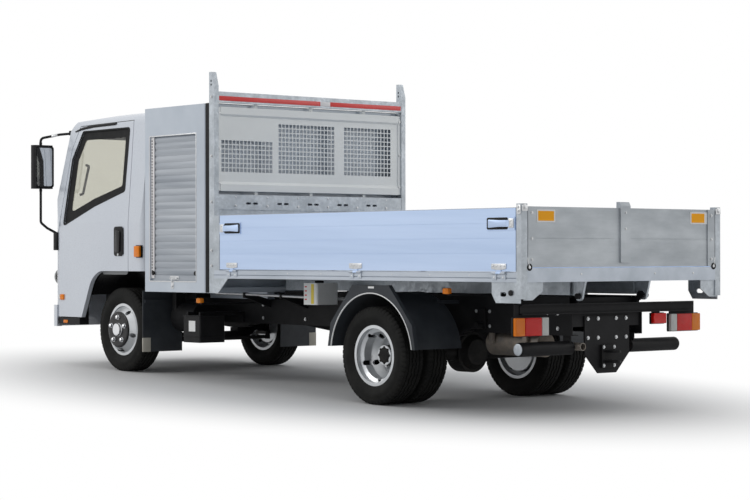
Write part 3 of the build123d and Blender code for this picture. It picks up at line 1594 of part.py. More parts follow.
with BuildPart() as cab_steps:
    with BuildSketch(Plane.XZ.offset(-step_rear)):
        with BuildLine():
            Polyline(
                (step_inner_x, floor_under),
                (step_inner_x, step_bottom),
                (step_outer_x, step_bottom),
                (step_outer_x, step_top),
                (step_plate_x, step_top),
                (step_plate_x, floor_under),
                close=True,
            )
        make_face()
    extrude(amount=step_length)
    mirror(about=Plane.YZ)
hand_in(cab_steps, "cab_steps")

# Mirrors: a housing on each side, carried by a bent tube from a bracket at its top and one at its foot
mirror_x = (902.0, 1101.0)
mirror_y = (-4442.0, -4358.0)
mirror_z = (1306.0, 1687.0)
arm_radius = 11.0
arm_x = 1018.0
arm_y_mirror = -4392.0
upper_bracket = (806.0, -4172.0, 1790.0)
lower_bracket = (845.0, -4352.0, 900.0)
lower_mount_z = (770.0, 920.0)
upper_mount_x = (780.0, 836.0)
upper_mount_y = (-4220.0, -4120.0)
upper_mount_z = (1772.0, 1812.0)
with BuildPart() as mirrors:
    with BuildSketch(Plane.XY.offset(mirror_z[0])):
        with Locations(((mirror_x[0] + mirror_x[1]) / 2, (mirror_y[0] + mirror_y[1]) / 2)):
            RectangleRounded(mirror_x[1] - mirror_x[0], mirror_y[1] - mirror_y[0], 34)
    extrude(amount=mirror_z[1] - mirror_z[0])
    upper_route = [
        (arm_x, arm_y_mirror, mirror_z[1] - 20),
        (arm_x, arm_y_mirror, mirror_z[1] + 60),
        (arm_x - 120, arm_y_mirror + 120, mirror_z[1] + 92),
        upper_bracket,
    ]
    lower_route = [
        (arm_x, arm_y_mirror, mirror_z[0] + 20),
        (arm_x, arm_y_mirror, 1010.0),
        (arm_x - 60, arm_y_mirror + 8, 962.0),
        lower_bracket,
    ]
    for route in (upper_route, lower_route):
        with BuildLine() as arm:
            FilletPolyline(*route, radius=34)
        with BuildSketch(Plane(origin=arm.line @ 0, z_dir=arm.line % 0)):
            Circle(arm_radius)
        sweep(path=arm.line)
    with BuildSketch(Plane.XY.offset(lower_mount_z[0])):
        with Locations((lower_bracket[0] - 3, lower_bracket[1])):
            RectangleRounded(64, 84, 18)
    extrude(amount=lower_mount_z[1] - lower_mount_z[0])
    block(upper_mount_x, upper_mount_y, upper_mount_z)
    add(cab_form(0, skirt_bottom), mode=Mode.SUBTRACT)
    mirror(about=Plane.YZ)
hand_in(mirrors, "mirrors")

# Inside the cab: steering wheel on its column, dashboard, and seats on the engine lid
driver_x = -420.0
wheel_centre = (driver_x, -3990.0, 1090.0)
wheel_tilt = 38.0
wheel_radius = 205.0
wheel_rim = 14.0
boss_radius = 60.0
boss_depth = 30.0
column_radius = 26.0
column_length = 160.0
wheel_plane = Plane(Location(wheel_centre, (wheel_tilt, 0, 0)))
rim_section_plane = Plane(origin=wheel_plane.origin, x_dir=wheel_plane.x_dir, z_dir=wheel_plane.y_dir)
with BuildPart() as steering_wheel:
    with BuildSketch(rim_section_plane):
        with Locations((wheel_radius, 0)):
            RegularPolygon(wheel_rim, 8)
    revolve(axis=Axis(wheel_plane.origin, wheel_plane.z_dir))
    with Locations(Location(wheel_centre, (wheel_tilt, 0, 0))):
        Cylinder(boss_radius, boss_depth)
        with PolarLocations(wheel_radius / 2, 3, start_angle=90):
            Box(wheel_radius, boss_depth, wheel_rim)
        with Locations((0, 0, -(boss_depth + column_length) / 2)):
            Cylinder(column_radius, column_length)
hand_in(steering_wheel, "steering_wheel")
dash_half_width = 842.0
with BuildPart() as dashboard:
    with BuildSketch(Plane.YZ.offset(-dash_half_width)):
        with BuildLine():
            Polyline(
                (cab_front, 700),
                (cab_front, windscreen_foot),
                (-4150, 1000),
                (-4080, 930),
                (-4120, 760),
                (-4250, 700),
                close=True,
            )
        make_face()
    extrude(amount=2 * dash_half_width)
    add(cab_form(cab_wall + running_gap, foot_floor), mode=Mode.INTERSECT)
    add(steering_wheel.part, mode=Mode.SUBTRACT)
hand_in(dashboard, "dashboard")
# seat table: middle x, width
seats_across = [(driver_x, 480.0), (330.0, 880.0)]
cushion = (engine_lid_front, -3150.0)
cushion_top = (905.0, 885.0)
back_top = 1480.0
back_rear = cab_rear - cab_wall - 4.0
seat_round = 30.0
with BuildPart() as seats:
    for x, width in seats_across:
        with BuildSketch(Plane.YZ.offset(x - width / 2)) as outline:
            with BuildLine():
                Polyline(
                    (cushion[0], engine_lid[1] + running_gap),
                    (cushion[0], cushion_top[0]),
                    (cushion[1], cushion_top[1]),
                    (cushion[1] + 18, engine_lid[1] + running_gap),
                    close=True,
                )
            make_face()
            fillet(outline.vertices().group_by(Axis.X)[0], seat_round)
        extrude(amount=width)
        with BuildSketch(Plane.YZ.offset(x - width / 2)) as outline:
            with BuildLine():
                Polyline(
                    (cushion[1] + 19, engine_lid[1] + running_gap),
                    (cushion[1] + 1, cushion_top[0] - 5),
                    (cushion[1] + 50, back_top),
                    (back_rear, back_top),
                    (back_rear, engine_lid[1] + running_gap),
                    close=True,
                )
            make_face()
            fillet(outline.vertices().group_by(Axis.Y)[-1], seat_round)
        extrude(amount=width)
hand_in(seats, "seats")

# Set the truck down on the road: pitched by its stance, lifted to its tyres, over its own middle
rake = math.degrees(math.atan2(front_hub_rise, wheelbase))
stance = Location((0, 0, tyre_radius), (rake, 0, 0))
standing = {name: piece.moved(stance) for name, piece in finished.items()}
front_end = min(piece.bounding_box().min.Y for piece in standing.values())
rear_end = max(piece.bounding_box().max.Y for piece in standing.values())
to_middle = Location((0, -(front_end + rear_end) / 2, 0))
for name, piece in standing.items():
    placed = piece.moved(to_middle)
    placed.label = name
    export_step(placed, f"parts/{name}.step")
print(f"rear axle to the middle of the length: {(front_end + rear_end) / 2:.3f}")
print(f"over all: {rear_end - front_end:.1f}")
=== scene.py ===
"""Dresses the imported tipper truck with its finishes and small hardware, and sets it in a plain studio."""

import json
import logging
import math
from dataclasses import dataclass, field
from enum import Enum
from typing import Iterable, Sequence

import bmesh
import bpy
from mathutils import Matrix, Vector

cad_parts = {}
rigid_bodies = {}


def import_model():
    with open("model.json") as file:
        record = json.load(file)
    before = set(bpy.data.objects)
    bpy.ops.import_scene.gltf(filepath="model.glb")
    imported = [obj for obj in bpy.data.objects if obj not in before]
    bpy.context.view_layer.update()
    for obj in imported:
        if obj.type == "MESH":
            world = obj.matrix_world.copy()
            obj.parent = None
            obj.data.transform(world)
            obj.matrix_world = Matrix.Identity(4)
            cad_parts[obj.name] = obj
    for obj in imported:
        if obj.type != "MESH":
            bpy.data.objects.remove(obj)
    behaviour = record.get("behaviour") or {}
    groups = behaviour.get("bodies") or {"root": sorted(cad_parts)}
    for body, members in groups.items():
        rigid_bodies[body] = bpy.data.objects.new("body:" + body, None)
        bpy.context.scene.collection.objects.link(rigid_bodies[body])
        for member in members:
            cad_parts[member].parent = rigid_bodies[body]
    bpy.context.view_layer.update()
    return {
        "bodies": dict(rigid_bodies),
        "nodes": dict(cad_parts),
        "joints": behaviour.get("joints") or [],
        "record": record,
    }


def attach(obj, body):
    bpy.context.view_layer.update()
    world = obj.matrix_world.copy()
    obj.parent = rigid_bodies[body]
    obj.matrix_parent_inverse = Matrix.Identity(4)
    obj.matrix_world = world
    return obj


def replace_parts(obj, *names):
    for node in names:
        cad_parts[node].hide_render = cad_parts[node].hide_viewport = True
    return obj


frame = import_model()

logging.basicConfig(level=logging.INFO, format="%(message)s")
log = logging.getLogger("truck")

MM = 0.001
EDGE_SHARE = 0.48  # the most of an edge that the round at its end takes up
BEND_STEPS = 6
MITRE_LIMIT = 0.3  # the least cosine by which a grown corner is divided
UPRIGHT = 0.9  # from here on, a direction counts as upright
LEAST_RADIUS = 0.05
BOLT_SIDES = 6
WASHER_SIDES = 16
RIVET_SIDES = 10
WASHER = ((0, 1.35), (0.22, 1.35))  # distance and radius, as shares of the head's radius
BOLT_HEAD = ((0.2, 1), (0.75, 1), (0.9, 0.8))
RIVET_HEAD = ((0, 1), (0.3, 0.9), (0.5, 0.5))
BEVEL_STEPS = 2
UNIT = (0.0, 1.0)
NOISE_MIDDLE = (0.3, 0.7)  # where nearly all of a noise's values lie
COAT_ROUGHNESS = 0.08
CLOUD_SCALE, CLOUD_DETAIL, CLOUD_ROUGH = 9.0, 6.0, 0.65
CLOUD_MIDDLE = (0.38, 0.72)
GRAIN_DETAIL = 3.0
Flat = tuple[float, float]
Point = tuple[float, float, float]
Colour = tuple[float, float, float]
Socket = bpy.types.NodeSocket


class Axis(Enum):
    """An axis of the truck, and the two axes that an outline square to it is drawn on."""

    X = (0, 1, 2)
    Y = (1, 0, 2)
    Z = (2, 0, 1)

    def lay(self, outline: Sequence[Flat], place: float) -> list[Vector]:
        """Lay an outline at a place on the axis.

        Args:
            outline: Its corners on the two other axes.
            place: Where it lies on this one.

        Returns:
            The corners in space.
        """
        along, first, second = self.value
        loop = []
        for a, b in outline:
            point = Vector((0, 0, 0))
            point[along], point[first], point[second] = place, a, b
            loop.append(point)
        return loop


class Side(Enum):
    """A side of the truck, with the sign of its X."""

    LEFT = 1
    RIGHT = -1

    @property
    def word(self) -> str:
        """The side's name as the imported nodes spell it."""
        return self.name.lower()


class Slot(Enum):
    """The material slots of the record."""

    ALUMINIUM = "aluminium"
    GALVANISED = "galvanised"
    CHASSIS_BLACK = "chassis_black"
    CAST_BLACK = "cast_black"
    RUBBER = "tyre_rubber"
    BLACK_PLASTIC = "black_plastic"
    GLASS = "glass"
    LENS = "lamp_lens"
    TANK_WHITE = "tank_white"
    CHROME = "ram_chrome"
    FABRIC = "seat_fabric"


@dataclass(frozen=True)
class Span:
    """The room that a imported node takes, in the truck's millimetres."""

    low: Vector
    high: Vector


class Truck:
    """The truck's own axes: origin at the middle of the rear axle, millimetres, square to its frame."""

    def __init__(self, packed: dict) -> None:
        """Find the rear axle and the slope of the frame from the joints.
        """
        joints = {joint["name"]: joint for joint in packed["joints"]}
        up = Vector(joints["steer_left"]["axis"]).normalized()
        left = Vector((1, 0, 0))
        hub = Vector(joints["rear_spin_left"]["pos_m"])
        self.turn = Matrix((left, up.cross(left), up)).transposed()
        self.to_world = Matrix.Translation((0, hub.y, hub.z)) @ self.turn.to_4x4() @ Matrix.Scale(MM, 4)
        self.from_world = self.to_world.inverted()
        self.nodes = packed["nodes"]

    def span(self, node: str) -> Span:
        """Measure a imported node.

        Args:
            node: The node's name.

        Returns:
            Its room, square to the truck's own axes.
        """
        points = [self.from_world @ vertex.co for vertex in self.nodes[node].data.vertices]
        return Span(*(Vector([pick(point[i] for point in points) for i in range(3)]) for pick in (min, max)))


def bend(before: Vector, here: Vector, after: Vector, reach: float, steps: int) -> list[Vector]:
    """Round one corner of a line.

    Args:
        before: The corner before it.
        here: The corner.
        after: The corner after it.
        reach: How far the round reaches along each edge, cut down where an edge is short.
        steps: How many steps the round has.

    Returns:
        The round's points.
    """
    back, on = before - here, after - here
    reach = min(reach, EDGE_SHARE * back.length, EDGE_SHARE * on.length)
    start, end = here + back.normalized() * reach, here + on.normalized() * reach
    return [
        (1 - t) ** 2 * start + 2 * t * (1 - t) * here + t * t * end
        for t in (step / steps for step in range(steps + 1))
    ]


def rounded(outline: Sequence[Flat], radius: float, steps: int = BEND_STEPS) -> list[Flat]:
    """Round the corners of a closed outline.

    Args:
        outline: Its corners in order.
        radius: The corners' radius.
        steps: How many steps each round corner has.

    Returns:
        The rounded outline.
    """
    corners = [Vector(corner) for corner in outline]
    found: list[Flat] = []
    for i, here in enumerate(corners):
        before, after = corners[i - 1], corners[(i + 1) % len(corners)]
        half = (before - here).angle(after - here) / 2
        found += [tuple(point) for point in bend(before, here, after, radius / math.tan(half), steps)]
    return found


def grown(outline: Sequence[Flat], amount: float) -> list[Flat]:
    """Move every edge of a closed outline outwards.

    Args:
        outline: Its corners in order, either way round.
        amount: How far each edge moves, inwards if negative.

    Returns:
        The corners of the new outline.
    """
    after = [*outline[1:], outline[0]]
    way = 1 if sum(a[0] * b[1] - b[0] * a[1] for a, b in zip(outline, after)) > 0 else -1
    found: list[Flat] = []
    for i, corner in enumerate(outline):
        here = Vector(corner)
        into = (here - Vector(outline[i - 1])).normalized()
        out_of = (Vector(after[i]) - here).normalized()
        normal_in = Vector((into.y, -into.x)) * way
        normal_out = Vector((out_of.y, -out_of.x)) * way
        middle = (normal_in + normal_out).normalized()
        found.append(tuple(here + middle * amount / max(MITRE_LIMIT, middle.dot(normal_in))))
    return found


def rectangle(a: Flat, b: Flat) -> list[Flat]:
    """The corners of a rectangle between two pairs of values."""
    return [(a[0], b[0]), (a[1], b[0]), (a[1], b[1]), (a[0], b[1])]


def scaled(outline: Sequence[Flat], size: float) -> list[Flat]:
    """An outline with all its values multiplied by a size."""
    return [(a * size, b * size) for a, b in outline]


def basis(direction: Vector) -> tuple[Vector, Vector]:
    """Two unit vectors square to a direction and to each other."""
    helper = Vector((0, 0, 1)) if abs(direction.normalized().z) < UPRIGHT else Vector((1, 0, 0))
    first = direction.cross(helper).normalized()
    return first, direction.cross(first).normalized()


def circle(middle: Vector, first: Vector, second: Vector, radius: float, sides: int) -> list[Vector]:
    """Points evenly round a middle, on the plane of two unit vectors."""
    turns = (math.tau * i / sides for i in range(sides))
    return [middle + (first * math.cos(turn) + second * math.sin(turn)) * radius for turn in turns]


@dataclass
class Mould:
    """Gathers the surfaces of one piece in the truck's millimetres, and casts them as a mesh.

    A piece of a side is drawn for the left, and its mould mirrors it for the right.
    """

    truck: Truck
    side: Side = Side.LEFT
    points: list[Vector] = field(default_factory=list)
    faces: list[list[int]] = field(default_factory=list)

    def add(self, points: Iterable[Vector], faces: Iterable[Sequence[int]]) -> "Mould":
        """Add a surface.

        Args:
            points: Its points.
            faces: Its faces, as places in that list.

        Returns:
            The mould, as every shape does.
        """
        start = len(self.points)
        self.points += [Vector((point[0] * self.side.value, point[1], point[2])) for point in points]
        self.faces += [[start + i for i in face] for face in faces]
        return self

    def loft(self, loops: Sequence[Sequence[Vector]], close: bool = False) -> "Mould":
        """Join loops of as many points each.

        Args:
            loops: The loops in order.
            close: Whether the last loop joins the first, instead of both being capped.

        Returns:
            The mould.
        """
        count, rows = len(loops[0]), len(loops)
        faces = []
        for row in range(rows if close else rows - 1):
            below, above = row * count, (row + 1) % rows * count
            for i in range(count):
                j = (i + 1) % count
                faces.append([below + i, below + j, above + j, above + i])
        if not close:
            faces.append(list(range(count))[::-1])
            faces.append([(rows - 1) * count + i for i in range(count)])
        return self.add([point for loop in loops for point in loop], faces)

    def prism(self, outline: Sequence[Flat], axis: Axis, start: float, end: float) -> "Mould":
        """An outline drawn out along an axis from one place to another."""
        return self.loft([axis.lay(outline, place) for place in (start, end)])

    def plate(
        self, a: Flat, b: Flat, axis: Axis, start: float, end: float, radius: float, steps: int = BEND_STEPS
    ) -> "Mould":
        """A rectangle with round corners, drawn out along an axis."""
        return self.prism(rounded(rectangle(a, b), radius, steps), axis, start, end)

    def box(self, x: Flat, y: Flat, z: Flat) -> "Mould":
        """A box between a pair of values along each axis."""
        return self.prism(rectangle(x, y), Axis.Z, *z)

    def border(
        self, outer: Sequence[Flat], inner: Sequence[Flat], axis: Axis, start: float, end: float
    ) -> "Mould":
        """A border between two outlines, drawn out along an axis."""
        loops = [axis.lay(*pair) for pair in ((outer, start), (outer, end), (inner, end), (inner, start))]
        return self.loft(loops, close=True)

    def band(self, outer: Sequence[Point], inner: Sequence[Point], rise: Point) -> "Mould":
        """A band between two loops in space, thickened by a rise."""
        low = [[Vector(point) for point in loop] for loop in (outer, inner)]
        high = [[point + Vector(rise) for point in loop] for loop in low]
        return self.loft([low[0], high[0], high[1], low[1]], close=True)

    def lathe(self, centre: Point, along: Point, section: Sequence[Flat], steps: int = 40) -> "Mould":
        """Turn a section about an axis.

        Args:
            centre: A point on the axis.
            along: The axis's direction.
            section: Pairs of distance along the axis and radius, in order.
            steps: How many sides the turned form has.

        Returns:
            The mould.
        """
        way = Vector(along).normalized()
        first, second = basis(way)
        return self.loft([
            circle(Vector(centre) + way * distance, first, second, max(radius, LEAST_RADIUS), steps)
            for distance, radius in section
        ])

    def tube(self, route: Sequence[Point], radius: float, reach: float = 40.0, sides: int = 12) -> "Mould":
        """A round tube along a route with rounded corners.

        Args:
            route: The route's corners.
            radius: The tube's radius.
            reach: How far its bends reach along each stretch.
            sides: How many sides it has.

        Returns:
            The mould.
        """
        corners = [Vector(point) for point in route]
        line = [corners[0]]
        for before, here, after in zip(corners, corners[1:], corners[2:]):
            line += bend(before, here, after, reach, BEND_STEPS)
        line.append(corners[-1])
        loops = []
        first, _ = basis(line[1] - line[0])
        for i, middle in enumerate(line):
            way = (line[min(i + 1, len(line) - 1)] - line[max(i - 1, 0)]).normalized()
            first = (first - way * first.dot(way)).normalized()
            loops.append(circle(middle, first, way.cross(first), radius, sides))
        return self.loft(loops)

    def bolt(self, centre: Point, along: Point, radius: float) -> "Mould":
        """A hexagon head on its washer."""
        self.lathe(centre, along, scaled(WASHER, radius), WASHER_SIDES)
        return self.lathe(centre, along, scaled(BOLT_HEAD, radius), BOLT_SIDES)

    def rivet(self, centre: Point, along: Point, radius: float) -> "Mould":
        """A low domed head."""
        return self.lathe(centre, along, scaled(RIVET_HEAD, radius), RIVET_SIDES)

    def cast(
        self, name: str, body: str, finish: "Finish", slot: Slot, bevel: float = 0.0, sharp: float = 35.0
    ) -> bpy.types.Object:
        """Make the gathered surfaces into one object that rides on a body.

        Args:
            name: The piece's name, where {side} stands for the mould's side.
            body: The body that it moves with, named the same way.
            finish: Its finish.
            slot: The record's slot that the finish stands for; not used.
            bevel: How far its sharp edges are rounded, in millimetres.
            sharp: The angle in degrees from which an edge stays sharp.

        Returns:
            The object.
        """
        name, body = (text.format(side=self.side.word) for text in (name, body))
        mesh = bpy.data.meshes.new(name)
        mesh.from_pydata([tuple(point) for point in self.points], [], self.faces)
        work = bmesh.new()
        work.from_mesh(mesh)
        bmesh.ops.recalc_face_normals(work, faces=work.faces)
        if bevel:
            edges = [
                edge for edge in work.edges
                if edge.is_manifold and edge.calc_face_angle(0.0) > math.radians(sharp)
            ]
            bmesh.ops.bevel(
                work, geom=edges, offset=bevel, segments=BEVEL_STEPS, profile=0.5, affect="EDGES", clamp_overlap=True
            )
        bmesh.ops.transform(work, matrix=self.truck.to_world, verts=work.verts)
        work.to_mesh(mesh)
        work.free()
        mesh.polygons.foreach_set("use_smooth", [True] * len(mesh.polygons))
        mesh.set_sharp_from_angle(angle=math.radians(sharp))
        piece = bpy.data.objects.new(name, mesh)
        bpy.context.scene.collection.objects.link(piece)
        mesh.materials.append(finish.material())
        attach(piece, body)
        log.info("%s: %d faces on %s", name, len(mesh.polygons), body)
        return piece


@dataclass
class Nodes:
    """A node tree, with short ways to put nodes on it."""

    tree: bpy.types.NodeTree

    def feed(self, target: Socket, value: object) -> None:
        """Link a socket to another, or set its constant."""
        if isinstance(value, bpy.types.NodeSocket):
            self.tree.links.new(value, target)
        else:
            target.default_value = value

    def node(self, kind: str, inputs: dict | None = None, **settings: object) -> bpy.types.Node:
        """Add a node.

        Args:
            kind: The node's type.
            inputs: A constant or another node's socket for each input that is fed.
            **settings: Settings of the node itself.

        Returns:
            The node.
        """
        found = self.tree.nodes.new(kind)
        for key, value in settings.items():
            setattr(found, key, value)
        for key, value in (inputs or {}).items():
            self.feed(found.inputs[key], value)
        return found

    def reckon(self, operation: str, *values: Socket) -> Socket:
        """Work out one value from others."""
        return self.node("ShaderNodeMath", dict(enumerate(values)), operation=operation).outputs[0]

    def spread(self, value: Socket, source: Flat, target: Flat, **settings: object) -> Socket:
        """Stretch a value from one range to another, held at its ends.

        Args:
            value: The value.
            source: The range that it has.
            target: The range that it gets.
            **settings: Settings of the node itself.

        Returns:
            The new value.
        """
        ends = dict(zip(("From Min", "From Max", "To Min", "To Max"), (*source, *target)))
        return self.node("ShaderNodeMapRange", {"Value": value, **ends}, **settings).outputs["Result"]

    def coordinates(self) -> Socket:
        """The place on the object, in metres."""
        return self.node("ShaderNodeTexCoord").outputs["Object"]


class Sheet(Nodes):
    """The node sheet of a finish."""

    def __init__(self, name: str) -> None:
        """Start an empty sheet with its shader.

        Args:
            name: The material's name.
        """
        self.made = bpy.data.materials.new(name)
        self.made.use_nodes = True
        super().__init__(self.made.node_tree)
        self.shader = self.tree.nodes["Principled BSDF"]
        self.place = self.coordinates()

    def shade(self, **values: object) -> None:
        """Feed the shader's inputs, named with underscores for spaces."""
        for key, value in values.items():
            self.feed(self.shader.inputs[key.replace("_", " ")], value)

    @property
    def tint(self) -> Socket:
        """The socket that gives the colour so far."""
        return self.shader.inputs["Base Color"].links[0].from_socket

    def noise(self, scale: "float | Point", detail: float = 4.0, rough: float = 0.55) -> Socket:
        """Cloudy noise from 0 to 1.

        Args:
            scale: Its scale in waves a metre, one for all axes or one each.
            detail: How many finer layers it has.
            rough: How strong the finer layers are.

        Returns:
            The noise's value.
        """
        scales = scale if isinstance(scale, tuple) else (scale,) * 3
        mapping = self.node("ShaderNodeMapping", {"Vector": self.place, "Scale": scales})
        inputs = {"Vector": mapping.outputs["Vector"], "Scale": 1.0, "Detail": detail, "Roughness": rough}
        return self.node("ShaderNodeTexNoise", inputs).outputs["Fac"]

    def mix(self, share: Socket, first: "Socket | Colour", second: Colour) -> Socket:
        """Mix two colours, of which the share is the second's."""
        start = (*first, 1.0) if isinstance(first, tuple) else first
        inputs = {"Factor": share, 6: start, 7: (*second, 1.0)}
        return self.node("ShaderNodeMix", inputs, data_type="RGBA").outputs[2]

    def bump(self, height: Socket, strength: float, depth: float) -> None:
        """Raise the surface by a height.

        Args:
            height: The height from 0 to 1.
            strength: How much it tells.
            depth: How deep a full step is, in metres.
        """
        inputs = {"Strength": strength, "Distance": depth, "Height": height}
        for earlier in self.shader.inputs["Normal"].links:
            inputs["Normal"] = earlier.from_socket
        self.shade(Normal=self.node("ShaderNodeBump", inputs).outputs["Normal"])

    def waves(self, direction: str, count: float, strength: float, depth: float) -> None:
        """Raise the surface in fine straight waves.

        Args:
            direction: The axis that they follow each other on.
            count: How many there are, in radians a metre.
            strength: How much they tell.
            depth: How deep they are, in metres.
        """
        inputs = {"Scale": count / math.tau, "Vector": self.place}
        wave = self.node("ShaderNodeTexWave", inputs, wave_type="BANDS", bands_direction=direction)
        self.bump(wave.outputs["Fac"], strength, depth)


@dataclass(frozen=True)
class Finish:
    """A finish that drifts between two colours, with a fine grain in its roughness and its surface."""

    name: str
    colour: Colour
    drift: Colour
    metallic: float = 0.0
    rough: Flat = (0.4, 0.5)
    patch: "float | Point" = 4.0
    grain: "float | Point" = 300.0
    relief: float = 0.15
    depth: float = 0.0006
    coat: float = 0.0
    dust: float = 0.0
    dust_colour: Colour = (0.32, 0.29, 0.25)
    dust_top: float = 0.75
    shine: float = 0.5

    def material(self) -> bpy.types.Material:
        """The finish's material, made once."""
        return bpy.data.materials.get(self.name) or self.build().made

    def build(self) -> Sheet:
        """Lay out the nodes that every finish has.

        Returns:
            The node sheet.
        """
        sheet = Sheet(self.name)
        sheet.shade(Metallic=self.metallic, Specular_IOR_Level=self.shine, Coat_Weight=self.coat)
        sheet.shade(Coat_Roughness=COAT_ROUGHNESS)
        tint = sheet.mix(sheet.spread(sheet.noise(self.patch), NOISE_MIDDLE, UNIT), self.colour, self.drift)
        if self.dust:
            height = sheet.node("ShaderNodeSeparateXYZ", {"Vector": sheet.place}).outputs["Z"]
            low = sheet.spread(height, (0.0, self.dust_top), (1.0, 0.0))
            clouds = sheet.spread(sheet.noise(CLOUD_SCALE, CLOUD_DETAIL, CLOUD_ROUGH), CLOUD_MIDDLE, UNIT)
            share = sheet.spread(sheet.reckon("MULTIPLY", low, clouds), UNIT, (0.0, self.dust))
            tint = sheet.mix(share, tint, self.dust_colour)
        grain = sheet.noise(self.grain, GRAIN_DETAIL)
        sheet.shade(Base_Color=tint, Roughness=sheet.spread(grain, NOISE_MIDDLE, self.rough))
        sheet.bump(grain, self.relief, self.depth)
        return sheet


@dataclass(frozen=True)
class Spangled(Finish):
    """Hot-dip zinc: crystals of slightly different grey."""

    crystal: float = 55.0
    contrast: float = 0.5

    def build(self) -> Sheet:
        """Lay the crystals over the plain finish.

        Returns:
            The node sheet.
        """
        sheet = super().build()
        inputs = {"Scale": self.crystal, "Randomness": 1.0, "Vector": sheet.place}
        cells = sheet.node("ShaderNodeTexVoronoi", inputs).outputs["Color"]
        split = sheet.node("ShaderNodeSeparateColor", {"Color": cells})
        share = sheet.spread(split.outputs[0], UNIT, (0.0, self.contrast))
        sheet.shade(
            Base_Color=sheet.mix(share, sheet.tint, self.drift),
            Roughness=sheet.spread(split.outputs[1], UNIT, self.rough),
        )
        return sheet


@dataclass(frozen=True)
class Bodywork(Finish):
    """Body paint outside, with black painted shade underneath and in the wheel arches."""

    inboard: float = 0.868
    below: float = 0.97
    behind: float = -2.90
    edge: float = 0.001
    # the colour of the painted shade on the hidden side below the cab
    under: Colour = (0.008, 0.008, 0.009)

    def build(self) -> Sheet:
        """Lay the black, a painted shade, over the paint's hidden side.

        Returns:
            The node sheet.
        """
        sheet = super().build()
        place = sheet.node("ShaderNodeSeparateXYZ", {"Vector": sheet.place})
        across = sheet.reckon("ABSOLUTE", place.outputs["X"])
        share = sheet.spread(across, (self.inboard, self.inboard + self.edge), (1.0, 0.0))
        for axis, ends in (
            ("Z", (self.below + self.edge, self.below)), ("Y", (self.behind, self.behind + self.edge)),
        ):
            share = sheet.reckon("MULTIPLY", share, sheet.spread(place.outputs[axis], ends, UNIT))
        sheet.shade(
            Base_Color=sheet.mix(share, sheet.tint, self.under),
            Metallic=sheet.spread(share, UNIT, (self.metallic, 0.0)),
            Coat_Weight=sheet.spread(share, UNIT, (self.coat, 0.0)),
        )
        return sheet


@dataclass(frozen=True)
class Clear(Finish):
    """Clear or tinted glass and lenses, faintly wavy."""

    passing: float = 1.0
    bending: float = 1.45

    def build(self) -> Sheet:
        """Let light pass through the plain finish.

        Returns:
            The node sheet.
        """
        sheet = super().build()
        sheet.shade(Transmission_Weight=self.passing, IOR=self.bending)
        return sheet


@dataclass(frozen=True)
class Fluted(Clear):
    """A lamp lens with fine flutes inside."""

    flutes: float = 700.0

    def build(self) -> Sheet:
        """Add the flutes to the lens.

        Returns:
            The node sheet.
        """
        sheet = super().build()
        sheet.waves("X", self.flutes, 0.5, 0.0015)
        return sheet


@dataclass(frozen=True)
class Woven(Finish):
    """Cloth with a small square weave."""

    threads: float = 420.0

    def build(self) -> Sheet:
        """Add the weave and a little sheen.

        Returns:
            The node sheet.
        """
        sheet = super().build()
        for direction in ("X", "Z"):
            sheet.waves(direction, self.threads, 0.4, 0.001)
        sheet.shade(Sheen_Weight=0.3)
        return sheet


# The cab paint; the black that Bodywork lays on its hidden side below is painted shade.
PAINT = Bodywork(
    "cab_paint_gloss", (0.565, 0.6, 0.66), (0.6, 0.635, 0.69), metallic=0.15, rough=(0.26, 0.32), patch=1.5,
    grain=180.0, relief=0.03, depth=0.0003, coat=0.6, dust=0.18, dust_colour=(0.45, 0.43, 0.4), dust_top=0.7,
)
LOCKER_PAINT = Finish(
    "locker_paint_gloss", (0.43, 0.485, 0.555), (0.55, 0.6, 0.665), metallic=0.1, rough=(0.28, 0.34), patch=1.5,
    grain=180.0, relief=0.03, depth=0.0003, coat=0.5,
)
PLANK = Finish(
    "plank_aluminium", (0.44, 0.555, 0.76), (0.53, 0.645, 0.85), metallic=0.55, rough=(0.34, 0.5),
    patch=(3.0, 0.35, 9.0), grain=(160.0, 3.0, 420.0), relief=0.22, depth=0.0005,
)
SLAT = Finish(
    "slat_aluminium", (0.25, 0.275, 0.31), (0.4, 0.425, 0.46), metallic=0.55, rough=(0.3, 0.44),
    patch=(2.0, 0.6, 14.0), grain=(120.0, 4.0, 380.0), depth=0.0004,
)
# The tailgate's aluminium, set darker than the dropsides' as painted shade for its rear face turned away from the
# lamps.
GATE_WITH_SHADE = Finish(
    "gate_aluminium", (0.33, 0.355, 0.38), (0.49, 0.52, 0.545), metallic=0.45, rough=(0.42, 0.62),
    patch=(2.2, 2.2, 6.0), grain=(5.0, 160.0, 380.0), relief=0.3,
)
# The floor and its rails: aluminium, its colour set darker in part as painted shade for the rear rail that faces away
# from the lamps.
FLOOR_PLATE = Finish(
    "floor_aluminium", (0.38, 0.42, 0.47), (0.5, 0.54, 0.6), metallic=0.6, rough=(0.35, 0.55),
    patch=(5.0, 1.0, 5.0), grain=(380.0, 4.0, 160.0), relief=0.25,
)
ZINC = Spangled(
    "galvanised_zinc", (0.52, 0.56, 0.6), (0.34, 0.37, 0.4), metallic=0.6, rough=(0.32, 0.58), patch=7.0,
    grain=120.0, relief=0.18,
)
GRILLE = Finish(
    "grille_powder_coat", (0.7, 0.72, 0.72), (0.76, 0.78, 0.775), metallic=0.1, rough=(0.45, 0.6), patch=2.0,
    grain=500.0, relief=0.25, depth=0.0004,
)
FRAME_BLACK = Finish(
    "frame_satin_black", (0.007, 0.007, 0.008), (0.014, 0.014, 0.015), rough=(0.42, 0.6), patch=6.0, grain=220.0,
    relief=0.3, depth=0.0008, dust=0.15, dust_colour=(0.07, 0.065, 0.06), shine=0.12,
)
CASTING = Finish(
    "black_casting", (0.01, 0.01, 0.011), (0.024, 0.023, 0.022), metallic=0.2, rough=(0.5, 0.7), patch=9.0,
    grain=420.0, relief=0.5, depth=0.001, dust=0.2, dust_colour=(0.09, 0.08, 0.07), shine=0.15,
)
